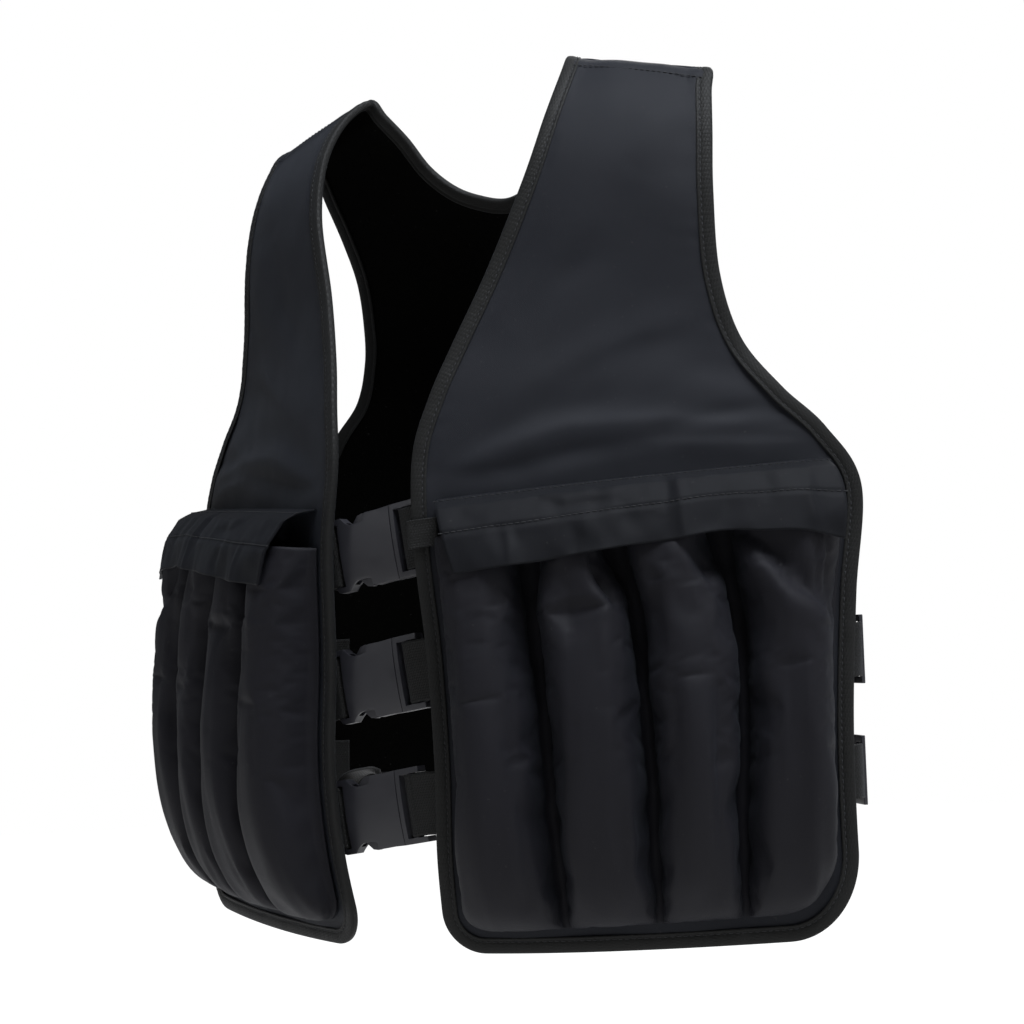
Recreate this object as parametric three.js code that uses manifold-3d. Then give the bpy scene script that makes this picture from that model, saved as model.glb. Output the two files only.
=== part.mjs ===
import * as THREE from 'three';
import { mergeVertices } from 'three/addons/utils/BufferGeometryUtils.js';
import Module from 'manifold-3d';

const wasm = await Module();
wasm.setup();

// A weighted vest in the form it has when worn and fastened. The origin lies between the two
// shoulder seams, level with their inner ends. X runs to the wearer's left, Y to the back, Z up.
// Lengths are millimetres.

// Cut of the garment
const NECK_WIDTH = 160;
const SHOULDER_WIDTH = 346;
const SHOULDER_DROP = 21;
const CHEST_WIDTH = 520;
const FRONT_GAP = 67;
const FRONT_LENGTH = 555;
const FRONT_REACH = 118;
const FRONT_DROOP = 29;
const SIDE_SET = 20;
const BACK_WIDTH = 424;
const BACK_LENGTH = 470;
const BACK_REACH = 108;
const BACK_SIDE_SET = 76;
const FRONT_CROWN = 10;
const BACK_CROWN = 12;
const FRONT_CORNER = 24;
const SIDE_CORNER = 42;
const BACK_CORNER = 30;

// Cloth and its small clearances
const PANEL_CLOTH = 2.5;
const POCKET_CLOTH = 1.8;
const SEAT_GAP = 0.3;
const SEWN_GAP = 0.7;
const WEBBING_GAP = 0.9;
const SEAM_GAP = 0.6;

// Bound edge
const BINDING_WIDTH = 10;
const BINDING_CLOTH = 1.2;
const BINDING_GAP = 0.4;
const BINDING_STRETCH = 1.6;

// Weight pockets, sewn to the front panels
const CELL_COUNT = 4;
const POCKET_BASE = 14;
const POCKET_HEIGHT = 231;
const POCKET_DEPTH = 38;
const POCKET_TOE = 80;
const POCKET_INNER_MARGIN = 12.5;
const POCKET_OUTER_MARGIN = 11.5;
const CELL_GROOVE = 4;
const CELL_FULLNESS = 0.62;

// Pocket flap, a stiff awning over the pocket mouths
const FLAP_SEAM_HEIGHT = 269;
const FLAP_DROP = 46;
const FLAP_REACH = 34.4;
const FLAP_MARGIN = 16;

// Webbing and the three front buckles
const STRAP_WIDTH = 38;
const STRAP_CLOTH = 1.6;
const STRAP_SEWN_START = 28;
const STRAP_SEWN_END = 58;
const BUCKLE_COUNT = 3;
const BUCKLE_TOP_DEPTH = 309;
const BUCKLE_PITCH = 80.5;
const BUCKLE_TILT = THREE.MathUtils.degToRad(9);
const BUCKLE_SETBACK = 16;
const BUCKLE_TUCK = 10;
const BUCKLE_WIDTH = 46;
const BUCKLE_THICKNESS = 10;
const SOCKET_LENGTH = 49;
const SOCKET_WALL = 2.2;
const SOCKET_SIDE_WALL = 3.6;
const NOTCH_DEPTH = 5.6;
const BAR_WIDTH = 3.2;
const BAR_THICKNESS = 5;
const SLOT_LENGTH = 4.4;
const PLUG_BASE = 18;
const PLUG_GAP = 0.6;
const PLUG_CLEARANCE = 0.5;
const ARM_WIDTH = 3.4;
const TAB_BULGE = 4.4;
const PRONG_WIDTH = 7;

// Side straps between the front and back panels, each with a slider
const SIDE_STRAP_WIDTH = 32;
const SIDE_STRAP_COUNT = 2;
const SIDE_STRAP_TOP_DEPTH = 382;
const SIDE_STRAP_PITCH = 72;
const SIDE_STRAP_BOW = 10;
const SIDE_SEWN_START = 14;
const SIDE_SEWN_END = 40;
const SIDE_OVERRUN = 3;
const SLIDER_SHARE = 0.42;
const SLIDER_THICKNESS = 2.4;
const SLIDER_BAR = 3;
const SLIDER_SLOT = 6;
const SLIDER_CENTRE_BAR = 4;
const SLIDER_RAIL = 4;

// Webbing tab on the left front edge
const TAB_WIDTH = 17;
const TAB_REACH = 15;
const TAB_DEPTH = 300;
const TAB_WRAP = 2;

// Sections of a front panel from the hem to the shoulder seam. height is a share of FRONT_LENGTH,
// reach of FRONT_REACH, inner goes from FRONT_GAP to NECK_WIDTH, outer from SHOULDER_WIDTH to
// CHEST_WIDTH, set is a share of SIDE_SET, drop of SHOULDER_DROP, droop of FRONT_DROOP and crown
// of FRONT_CROWN.
const FRONT_SECTIONS = [
  { height: 0.000, reach: 0.83, inner: 0.00, outer: 0.93, set: 0.55, drop: 0.00, droop: 0.23, crown: 1.0 },
  { height: 0.100, reach: 0.93, inner: 0.09, outer: 0.93, set: 0.35, drop: 0.00, droop: 0.59, crown: 1.0 },
  { height: 0.200, reach: 0.96, inner: 0.15, outer: 0.94, set: 0.35, drop: 0.00, droop: 0.86, crown: 1.0 },
  { height: 0.320, reach: 0.96, inner: 0.08, outer: 0.96, set: 0.70, drop: 0.00, droop: 1.00, crown: 1.0 },
  { height: 0.440, reach: 1.00, inner: 0.00, outer: 1.00, set: 1.00, drop: 0.00, droop: 0.88, crown: 0.9 },
  { height: 0.535, reach: 0.96, inner: -0.05, outer: 0.81, set: 0.51, drop: 0.00, droop: 0.27, crown: 0.7 },
  { height: 0.600, reach: 0.88, inner: 0.10, outer: 0.56, set: -0.05, drop: 0.16, droop: 0.00, crown: 0.5 },
  { height: 0.660, reach: 0.77, inner: 0.31, outer: 0.30, set: -0.38, drop: 0.26, droop: 0.00, crown: 0.4 },
  { height: 0.740, reach: 0.63, inner: 0.64, outer: 0.18, set: -0.61, drop: 0.43, droop: 0.00, crown: 0.3 },
  { height: 0.840, reach: 0.50, inner: 1.04, outer: 0.15, set: -0.57, drop: 0.70, droop: 0.00, crown: 0.3 },
  { height: 0.915, reach: 0.36, inner: 1.19, outer: 0.12, set: -0.23, drop: 0.86, droop: 0.00, crown: 0.3 },
  { height: 0.970, reach: 0.18, inner: 1.17, outer: 0.06, set: 0.30, drop: 0.95, droop: 0.00, crown: 0.2 },
  { height: 1.000, reach: 0.00, inner: 1.00, outer: 0.00, set: 0.84, drop: 1.00, droop: 0.00, crown: 0.1 },
];

// Sections of one half of the back panel from just behind the shoulder seam to the hem. fall and
// side_fall are shares of BACK_LENGTH, reach of BACK_REACH, inner of NECK_WIDTH, outer of
// BACK_WIDTH, side_set of BACK_SIDE_SET and crown of BACK_CROWN.
const BACK_SECTIONS = [
  { fall: 0.022, reach: 0.07, inner: 0.915, outer: 0.725, side_set: 0.33, side_fall: 0.065, crown: 0.00 },
  { fall: 0.055, reach: 0.18, inner: 0.80, outer: 0.702, side_set: 0.50, side_fall: 0.121, crown: 0.05 },
  { fall: 0.096, reach: 0.27, inner: 0.67, outer: 0.682, side_set: 0.66, side_fall: 0.177, crown: 0.10 },
  { fall: 0.127, reach: 0.33, inner: 0.48, outer: 0.671, side_set: 0.81, side_fall: 0.235, crown: 0.20 },
  { fall: 0.145, reach: 0.37, inner: 0.27, outer: 0.677, side_set: 0.91, side_fall: 0.296, crown: 0.32 },
  { fall: 0.156, reach: 0.39, inner: 0.00, outer: 0.700, side_set: 0.99, side_fall: 0.358, crown: 0.48 },
  { fall: 0.259, reach: 0.66, inner: 0.00, outer: 0.748, side_set: 1.00, side_fall: 0.420, crown: 0.65 },
  { fall: 0.370, reach: 0.84, inner: 0.00, outer: 0.838, side_set: 0.91, side_fall: 0.478, crown: 0.77 },
  { fall: 0.480, reach: 0.94, inner: 0.00, outer: 0.914, side_set: 0.86, side_fall: 0.552, crown: 0.87 },
  { fall: 0.600, reach: 1.00, inner: 0.00, outer: 0.965, side_set: 0.82, side_fall: 0.645, crown: 0.98 },
  { fall: 0.780, reach: 1.00, inner: 0.00, outer: 0.990, side_set: 0.80, side_fall: 0.790, crown: 1.00 },
  { fall: 1.000, reach: 0.98, inner: 0.00, outer: 1.000, side_set: 0.78, side_fall: 1.000, crown: 0.97 },
];

// Fullness of a pocket above its toe. up is a share of POCKET_HEIGHT and lift of POCKET_DEPTH.
const POCKET_SECTIONS = [
  { up: 0.56, lift: 1.00 },
  { up: 0.80, lift: 0.96 },
  { up: 0.90, lift: 0.87 },
  { up: 1.00, lift: 0.70 },
];

// Underside of a flap. down is a share of FLAP_DROP and out of FLAP_REACH.
const FLAP_SECTIONS = [
  { down: 0.00, out: 0.00 },
  { down: 0.08, out: 0.35 },
  { down: 0.20, out: 0.60 },
  { down: 0.50, out: 0.86 },
  { down: 1.00, out: 1.00 },
];

// Rows of a panel: whole numbers are the sections above, counted from the front hem
const RIDGE = FRONT_SECTIONS.length - 1;
const NECK_ROW = RIDGE + 1 + BACK_SECTIONS.findIndex((section) => section.inner === 0);
const BACK_HEM = RIDGE + BACK_SECTIONS.length;
const STEP = 0.001;

const lerp = THREE.MathUtils.lerp;

function frontInner({ height, reach, inner }) {
  const x = lerp(FRONT_GAP, NECK_WIDTH, inner) / 2;
  return new THREE.Vector3(x, -FRONT_REACH * reach, -FRONT_LENGTH * (1 - height));
}

function frontOuter({ height, outer, set, drop, droop }) {
  const x = lerp(SHOULDER_WIDTH, CHEST_WIDTH, outer) / 2;
  const z = -FRONT_LENGTH * (1 - height) - SHOULDER_DROP * drop + FRONT_DROOP * droop;
  return new THREE.Vector3(x, SIDE_SET * set, z);
}

function backInner({ fall, reach, inner }) {
  return new THREE.Vector3(NECK_WIDTH / 2 * inner, BACK_REACH * reach, -BACK_LENGTH * fall);
}

function backOuter({ outer, side_set, side_fall }) {
  return new THREE.Vector3(BACK_WIDTH / 2 * outer, BACK_SIDE_SET * side_set, -BACK_LENGTH * side_fall);
}

function smoothCurve(points) {
  return new THREE.CatmullRomCurve3(points, false, 'catmullrom', 0.5);
}

const innerCurve = smoothCurve([...FRONT_SECTIONS.map(frontInner), ...BACK_SECTIONS.map(backInner)]);
const outerCurve = smoothCurve([...FRONT_SECTIONS.map(frontOuter), ...BACK_SECTIONS.map(backOuter)]);
const crownCurve = smoothCurve([
  ...FRONT_SECTIONS.map(({ crown }) => new THREE.Vector3(FRONT_CROWN * crown, 0, 0)),
  ...BACK_SECTIONS.map(({ crown }) => new THREE.Vector3(BACK_CROWN * crown, 0, 0)),
]);

function onCurve(curve, row) {
  return curve.getPoint(THREE.MathUtils.clamp(row / BACK_HEM, 0, 1));
}

function innerEdge(row) {
  const point = onCurve(innerCurve, row);
  point.x = row >= NECK_ROW ? 0 : Math.max(0, point.x);
  return point;
}

function outerEdge(row) {
  return onCurve(outerCurve, row);
}

function chordPoint(across, row) {
  return innerEdge(row).lerp(outerEdge(row), across);
}

// Outward direction of a surface that is given as a function of across and row
function outward(surface, across, row) {
  const below = Math.max(0, row - STEP);
  const above = Math.min(BACK_HEM, row + STEP);
  const acrossSlope = surface(across + STEP, row).sub(surface(across - STEP, row));
  const alongSlope = surface(across, above).sub(surface(across, below));
  return acrossSlope.cross(alongSlope).normalize();
}

// A point on the outside of the left half of the vest, across 0 to 1 from inner to outer edge
function surfacePoint(across, row) {
  const crown = onCurve(crownCurve, row).x * 4 * across * (1 - across);
  return chordPoint(across, row).addScaledVector(outward(chordPoint, across, row), crown);
}

function surfaceNormal(across, row) {
  const normal = outward(surfacePoint, across, row);
  if (across === 0 && row >= NECK_ROW) normal.x = 0;
  return normal.normalize();
}

function place(across, row, lift) {
  return surfacePoint(across, row).addScaledVector(surfaceNormal(across, row), lift);
}

function panelWidth(row) {
  return innerEdge(row).distanceTo(outerEdge(row));
}

// The row at which an edge of the front (or back) lies at a depth below the origin
function rowAtDepth(edge, depth, start, end) {
  const isRising = edge(start).z < edge(end).z;
  let low = start;
  let high = end;
  for (let i = 0; i < 40; i += 1) {
    const middle = (low + high) / 2;
    const isBefore = (edge(middle).z < -depth) === isRising;
    if (isBefore) low = middle;
    else high = middle;
  }
  return (low + high) / 2;
}

function frontRow(heightAboveHem) {
  return rowAtDepth(innerEdge, FRONT_LENGTH - heightAboveHem, 0, RIDGE);
}

// How far a rounded corner draws an edge in, at a distance from the straight hem
function cornerInset(distance, radius) {
  const rest = Math.max(0, radius - distance);
  return radius - Math.sqrt(radius ** 2 - rest ** 2);
}

// Closed solids from grids of points, with rows from low to high and columns across
function pushQuad(triangles, a, b, c, d) {
  triangles.push(a, b, c, a, c, d);
}

function pushSheet(triangles, grid, flipped) {
  for (let r = 0; r + 1 < grid.length; r += 1) {
    for (let c = 0; c + 1 < grid[r].length; c += 1) {
      const [a, b] = [grid[r][c], grid[r][c + 1]];
      const [d, e] = [grid[r + 1][c + 1], grid[r + 1][c]];
      if (flipped) pushQuad(triangles, a, e, d, b);
      else pushQuad(triangles, a, b, d, e);
    }
  }
}

// The strip that joins the border of an outer sheet to the same border of an inner one
function pushBorder(triangles, outer, inner) {
  for (let i = 0; i + 1 < outer.length; i += 1) {
    pushQuad(triangles, outer[i], inner[i], inner[i + 1], outer[i + 1]);
  }
}

function shellTriangles(outer, inner, openFrom = Infinity) {
  const triangles = [];
  const last = outer.length - 1;
  const column = (grid, c) => grid.map((row) => row.at(c));
  const closedEdge = (grid) => column(grid, 0).slice(0, openFrom + 1);
  pushSheet(triangles, outer, false);
  pushSheet(triangles, inner, true);
  pushBorder(triangles, outer[0], inner[0]);
  pushBorder(triangles, inner[last], outer[last]);
  pushBorder(triangles, closedEdge(inner), closedEdge(outer));
  pushBorder(triangles, column(outer, -1), column(inner, -1));
  return triangles;
}

function mirroredTriangles(points) {
  const mirrored = [];
  for (let i = 0; i < points.length; i += 3) {
    const corners = [points[i], points[i + 2], points[i + 1]];
    mirrored.push(...corners.map(({ x, y, z }) => new THREE.Vector3(-x, y, z)));
  }
  return mirrored;
}

function solid(points) {
  const soup = new THREE.BufferGeometry().setFromPoints(points);
  const geometry = mergeVertices(soup, 1e-4);
  const kept = [];
  const index = geometry.index.array;
  for (let i = 0; i < index.length; i += 3) {
    const [a, b, c] = index.slice(i, i + 3);
    if (a !== b && b !== c && a !== c) kept.push(a, b, c);
  }
  geometry.setIndex(kept);
  return geometry;
}

// A closed tube through rings of points, each ring counted the same way round
function sweptTriangles(rings) {
  const triangles = [];
  const count = rings[0].length;
  for (let i = 0; i + 1 < rings.length; i += 1) {
    for (let k = 0; k < count; k += 1) {
      const next = (k + 1) % count;
      pushQuad(triangles, rings[i][k], rings[i][next], rings[i + 1][next], rings[i + 1][k]);
    }
  }
  return triangles;
}

// A flat strap through stations, each with the two ends of its width
function ribbon(stations) {
  const middles = stations.map(({ low, high }) => low.clone().lerp(high, 0.5));
  const rings = stations.map(({ low, high }, i) => {
    const before = middles[Math.max(0, i - 1)];
    const after = middles[Math.min(middles.length - 1, i + 1)];
    const ahead = after.clone().sub(before).normalize();
    const normal = ahead.cross(high.clone().sub(low)).normalize();
    const corner = (end, side) => end.clone().addScaledVector(normal, side * STRAP_CLOTH / 2);
    return [corner(low, -1), corner(high, -1), corner(high, 1), corner(low, 1)];
  });
  const triangles = sweptTriangles(rings);
  const [first, last] = [rings[0], rings.at(-1)];
  pushQuad(triangles, first[3], first[2], first[1], first[0]);
  pushQuad(triangles, ...last);
  return solid(triangles);
}

// Materials
function cloth(color, roughness) {
  return new THREE.MeshStandardMaterial({ color, roughness, metalness: 0, side: THREE.DoubleSide });
}

const panelMaterial = cloth(0x24252b, 0.75);
const pocketMaterial = cloth(0x1e1e22, 0.7);
const flapMaterial = cloth(0x202127, 0.75);
const bindingMaterial = cloth(0x2a2a2a, 0.85);
const webbingMaterial = cloth(0x232323, 0.85);
const buckleMaterial = new THREE.MeshStandardMaterial({ color: 0x2c2c31, roughness: 0.4, metalness: 0 });

const vest = new THREE.Group();

function addMesh(name, geometry, material, parent = vest) {
  geometry.computeVertexNormals();
  const mesh = new THREE.Mesh(geometry, material);
  mesh.name = name;
  parent.add(mesh);
  return mesh;
}

// Adds a piece of the left half, and its mirror image on the right
function addPair(name, triangles, material) {
  addMesh(`${name}_left`, solid(triangles), material);
  addMesh(`${name}_right`, solid(mirroredTriangles(triangles)), material);
}

// Panels: columns of points across one row, with a strip at each edge under the binding
const PANEL_FIELDS = 6;

// How much longer the binding's width is when measured along a row that meets the edge aslant
function edgeStretch(across, row) {
  const along = surfacePoint(across, Math.min(BACK_HEM, row + STEP));
  along.sub(surfacePoint(across, Math.max(0, row - STEP))).normalize();
  const sideways = surfacePoint(across + STEP, row).sub(surfacePoint(across - STEP, row)).normalize();
  return Math.min(BINDING_STRETCH, 1 / sideways.cross(along).length());
}

function panelColumns(row, innerInset, outerInset) {
  const width = panelWidth(row);
  const start = innerInset / width;
  const end = 1 - outerInset / width;
  const innerStrip = BINDING_WIDTH / width * edgeStretch(0, row);
  const outerStrip = BINDING_WIDTH / width * edgeStretch(1, row);
  const columns = [start];
  for (let i = 0; i <= PANEL_FIELDS; i += 1) {
    columns.push(lerp(start + innerStrip, end - outerStrip, i / PANEL_FIELDS));
  }
  return [...columns, end];
}

// Distances above a hem at which its round corners have points
function cornerDistances(radius) {
  const angles = [0, 0.35, 0.7, 1.05, 1.4];
  return angles.map((angle) => radius * (1 - Math.sin(Math.PI / 2 - angle)));
}

const frontRows = [
  ...cornerDistances(SIDE_CORNER).map((distance) => ({ distance, row: frontRow(distance) })),
  ...[1, 1.5, 2, 2.5, 3, 3.5, 4, 4.5, 5, 5.5, 6, 6.5, 7, 7.5, 8, 9, 10, 10.5, 11, 11.5, RIDGE].map(
    (row) => ({ distance: FRONT_LENGTH, row }),
  ),
];

const frontPlan = frontRows.map(({ distance, row }) => ({
  row,
  distance,
  columns: panelColumns(row, cornerInset(distance, FRONT_CORNER), cornerInset(distance, SIDE_CORNER)),
}));

function backRow(heightAboveHem) {
  return rowAtDepth(outerEdge, BACK_LENGTH - heightAboveHem, RIDGE, BACK_HEM);
}

const backRows = [
  ...[0, 0.5, 1, 1.5, 2, 2.5, 3, 3.5, 4, 4.5, 5, 5.5, 6, 6.5, 7, 8, 9, 10, 11].map(
    (rowsBehindRidge) => ({ distance: BACK_LENGTH, row: RIDGE + rowsBehindRidge }),
  ),
  ...cornerDistances(BACK_CORNER).map((distance) => ({ distance, row: backRow(distance) })).reverse(),
];

const backPlan = backRows.map(({ distance, row }) => ({
  row,
  distance,
  columns: panelColumns(row, 0, cornerInset(distance, BACK_CORNER)),
}));

// Half of the seam gap, taken from the end of a panel at the shoulder
function seamShift(row, direction) {
  return row === RIDGE ? direction * SEAM_GAP / 2 : 0;
}

function panelGrid(plan, lift, seamDirection) {
  return plan.map(({ row, columns }) => columns.map((across) => {
    const point = place(across, row, lift);
    point.y += seamShift(row, seamDirection);
    return point;
  }));
}

function frontPanel() {
  addPair('front_panel', shellTriangles(
    panelGrid(frontPlan, 0, -1),
    panelGrid(frontPlan, -PANEL_CLOTH, -1),
  ), panelMaterial);
}

// The back panel is one piece: each shoulder strip joins its mirror image below the neck
function backHalfGrid(lift) {
  const grid = panelGrid(backPlan, lift, 1);
  backPlan.forEach(({ row }, i) => {
    if (row >= NECK_ROW) grid[i][0].x = 0;
  });
  return grid;
}

function backPanel() {
  const openFrom = backPlan.findIndex(({ row }) => row >= NECK_ROW);
  const half = shellTriangles(backHalfGrid(0), backHalfGrid(-PANEL_CLOTH), openFrom);
  addMesh('back_panel', solid([...half, ...mirroredTriangles(half)]), panelMaterial);
}

// Binding tape, folded over a cloth edge. away points off the panel, up out of its face.
const FOLD = BINDING_GAP + BINDING_CLOTH;
const TAPE_PROFILE = [
  { away: -BINDING_WIDTH, up: BINDING_GAP },
  { away: -BINDING_WIDTH, up: FOLD },
  { away: FOLD, up: FOLD },
  { away: FOLD, up: -PANEL_CLOTH - FOLD },
  { away: -BINDING_WIDTH, up: -PANEL_CLOTH - FOLD },
  { away: -BINDING_WIDTH, up: -PANEL_CLOTH - BINDING_GAP },
  { away: BINDING_GAP, up: -PANEL_CLOTH - BINDING_GAP },
  { away: BINDING_GAP, up: BINDING_GAP },
];

function tapeTriangles(path, hasStart = true, hasEnd = true) {
  const rings = path.map(({ point, normal, aslant }, i) => {
    const before = path[Math.max(0, i - 1)].point;
    const after = path[Math.min(path.length - 1, i + 1)].point;
    const away = aslant ?? after.clone().sub(before).cross(normal).normalize();
    return TAPE_PROFILE.map((corner) => (
      point.clone().addScaledVector(away, corner.away).addScaledVector(normal, corner.up)
    ));
  });
  const triangles = sweptTriangles(rings);
  const [first, last] = [rings[0], rings.at(-1)];
  for (const [a, b, c, d] of [[0, 1, 2, 7], [7, 2, 3, 6], [6, 3, 4, 5]]) {
    if (hasStart) pushQuad(triangles, first[d], first[c], first[b], first[a]);
    if (hasEnd) pushQuad(triangles, last[a], last[b], last[c], last[d]);
  }
  return triangles;
}

// A station of the tape at one end of a row. Away from the round corners the tape's width is
// laid along the row, so that it covers the strip that the panel keeps for it.
function edgeStation({ row, distance, columns }, isOuter, radius, seamDirection) {
  const edge = isOuter ? columns.at(-1) : columns[0];
  const strip = isOuter ? columns.at(-2) : columns[1];
  const point = place(edge, row, 0);
  const aslant = place(edge, row, 0).sub(place(strip, row, 0)).divideScalar(BINDING_WIDTH);
  point.y += seamShift(row, seamDirection);
  return { point, normal: surfaceNormal(edge, row), aslant: distance < radius ? undefined : aslant };
}

function hemStation(across, row) {
  return { point: place(across, row, 0), normal: surfaceNormal(across, row) };
}

function frontBinding() {
  const inner = frontPlan.map((line) => edgeStation(line, false, FRONT_CORNER, -1)).reverse();
  const hem = frontPlan[0].columns.slice(1, -1).map((across) => hemStation(across, 0));
  const outer = frontPlan.map((line) => edgeStation(line, true, SIDE_CORNER, -1));
  addPair('front_binding', tapeTriangles([...inner, ...hem, ...outer]), bindingMaterial);
}

// The station on the middle of the back, where a tape meets its mirror image
function middleStation(row, rowWithin) {
  const point = place(0, row, 0).setX(0);
  const aslant = point.clone().sub(place(0, rowWithin, 0)).setX(0).normalize();
  return { point, normal: surfaceNormal(0, row), aslant };
}

function backBindings() {
  const neck = backPlan.filter(({ row }) => row < NECK_ROW);
  const neckHalf = neck.map((line) => edgeStation(line, false, 0, 1)).reverse();
  const neckTape = tapeTriangles([middleStation(NECK_ROW, NECK_ROW + 0.5), ...neckHalf], false, true);
  addMesh('back_neck_binding', solid([...neckTape, ...mirroredTriangles(neckTape)]), bindingMaterial);

  const side = backPlan.map((line) => edgeStation(line, true, BACK_CORNER, 1));
  const hem = backPlan.at(-1).columns.slice(1, -1).map((across) => hemStation(across, BACK_HEM));
  const path = [...side, ...hem.reverse(), middleStation(BACK_HEM, BACK_HEM - 0.5)];
  const tape = tapeTriangles(path, true, false);
  addMesh('back_binding', solid([...tape, ...mirroredTriangles(tape)]), bindingMaterial);
}

// Weight pocket: four cells side by side, hollow and open at the top
const CELL_ANGLES = [0, 0.2, 0.4, 0.6, 0.8, 1].map((share) => share * Math.PI);
const TOE_ANGLES = [0, 0.25, 0.5, 0.75].map((share) => share * Math.PI / 2);

function roundish(value) {
  return Math.sign(value) * Math.abs(value) ** CELL_FULLNESS;
}

// One row of points across the pocket. inset is the wall for the inner sheet and 0 for the outer.
function pocketRow(height, fullness, inset) {
  const row = frontRow(POCKET_BASE + height);
  const width = panelWidth(row);
  const innerCorner = cornerInset(height, FRONT_CORNER - POCKET_BASE / 2);
  const outerCorner = cornerInset(height, SIDE_CORNER - POCKET_BASE / 2);
  const start = POCKET_INNER_MARGIN + innerCorner;
  const end = width - POCKET_OUTER_MARGIN - outerCorner;
  const cell = (end - start) / CELL_COUNT;
  const half = (cell - CELL_GROOVE) / 2 - inset;
  const base = SEWN_GAP + POCKET_CLOTH - inset;
  const rise = (POCKET_DEPTH - POCKET_CLOTH - SEWN_GAP) * fullness;
  const points = [place(start / width, row, base)];
  for (let i = 0; i < CELL_COUNT; i += 1) {
    const centre = start + cell * (i + 0.5);
    for (const angle of CELL_ANGLES) {
      const across = centre - half * roundish(Math.cos(angle));
      points.push(place(across / width, row, base + rise * Math.max(0, roundish(Math.sin(angle)))));
    }
  }
  points.push(place(end / width, row, base));
  return points;
}

function pocketSheet(inset) {
  const toe = TOE_ANGLES.map((angle) => {
    const height = inset + (POCKET_TOE - inset) * (1 - Math.cos(angle));
    return pocketRow(height, Math.sin(angle), inset);
  });
  const upper = POCKET_SECTIONS.map(({ up, lift }) => pocketRow(POCKET_HEIGHT * up, lift, inset));
  const full = pocketRow(POCKET_TOE, 1, inset);
  return [...toe, full, ...upper];
}

function weightPockets() {
  addPair('weight_pocket', shellTriangles(pocketSheet(0), pocketSheet(POCKET_CLOTH)), pocketMaterial);
}

// Flap: the underside is the table above, and the top lies one cloth further out
const FLAP_COLUMNS = 10;

function flapSheet(thickness) {
  return [...FLAP_SECTIONS].reverse().map(({ down, out }) => {
    const row = frontRow(FLAP_SEAM_HEIGHT - FLAP_DROP * down + thickness * (1 - out));
    const margin = FLAP_MARGIN / panelWidth(row);
    const points = [];
    for (let i = 0; i <= FLAP_COLUMNS; i += 1) {
      const across = lerp(margin, 1 - margin, i / FLAP_COLUMNS);
      points.push(place(across, row, SEWN_GAP + FLAP_REACH * out + thickness));
    }
    return points;
  });
}

function pocketFlaps() {
  addPair('pocket_flap', shellTriangles(flapSheet(POCKET_CLOTH), flapSheet(0)), flapMaterial);
}

// Booleans on closed shapes
function toManifold(geometry) {
  const bare = geometry.clone();
  for (const name of ['normal', 'uv']) bare.deleteAttribute(name);
  const merged = mergeVertices(bare, 1e-4);
  const index = merged.index.array;
  const mesh = new wasm.Mesh({
    numProp: 3,
    vertProperties: new Float32Array(merged.attributes.position.array),
    triVerts: new Uint32Array(index),
  });
  return new wasm.Manifold(mesh);
}

function fromManifold(body) {
  const mesh = body.getMesh();
  const geometry = new THREE.BufferGeometry();
  geometry.setAttribute('position', new THREE.BufferAttribute(new Float32Array(mesh.vertProperties), 3));
  geometry.setIndex([...mesh.triVerts]);
  return geometry;
}

// A slab from a flat outline, centred on the plane of the outline
function slab(shape, thickness) {
  const geometry = new THREE.ExtrudeGeometry(shape, {
    depth: thickness,
    bevelEnabled: false,
    curveSegments: 5,
  });
  return geometry.translate(0, 0, -thickness / 2);
}

function box(fromX, toX, halfY, halfZ) {
  const geometry = new THREE.BoxGeometry(toX - fromX, 2 * halfY, 2 * halfZ);
  return geometry.translate((fromX + toX) / 2, 0, 0);
}

// Buckle, drawn along x from the socket's strap bar, y across the strap, z out of its face.
// The small offsets in the outlines are the roundings of the moulded edges.
const HALF_BUCKLE = BUCKLE_WIDTH / 2;
const SLOT_HALF = STRAP_WIDTH / 2 + PLUG_CLEARANCE;
const SOCKET_START = BAR_WIDTH + SLOT_LENGTH;
const NOTCH_START = SOCKET_START + 3;
const NOTCH_END = SOCKET_LENGTH * 0.62;
const NOTCH_LIP = NOTCH_END - 2;
const CAVITY_START = SOCKET_START + BAR_WIDTH;
const CAVITY_HALF = HALF_BUCKLE - SOCKET_SIDE_WALL;
const CAVITY_HALF_HEIGHT = BUCKLE_THICKNESS / 2 - SOCKET_WALL;

function slotHole(start, length) {
  const hole = new THREE.Path();
  hole.moveTo(start, -SLOT_HALF);
  hole.lineTo(start, SLOT_HALF);
  hole.lineTo(start + length, SLOT_HALF);
  hole.lineTo(start + length, -SLOT_HALF);
  hole.closePath();
  return hole;
}

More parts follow.
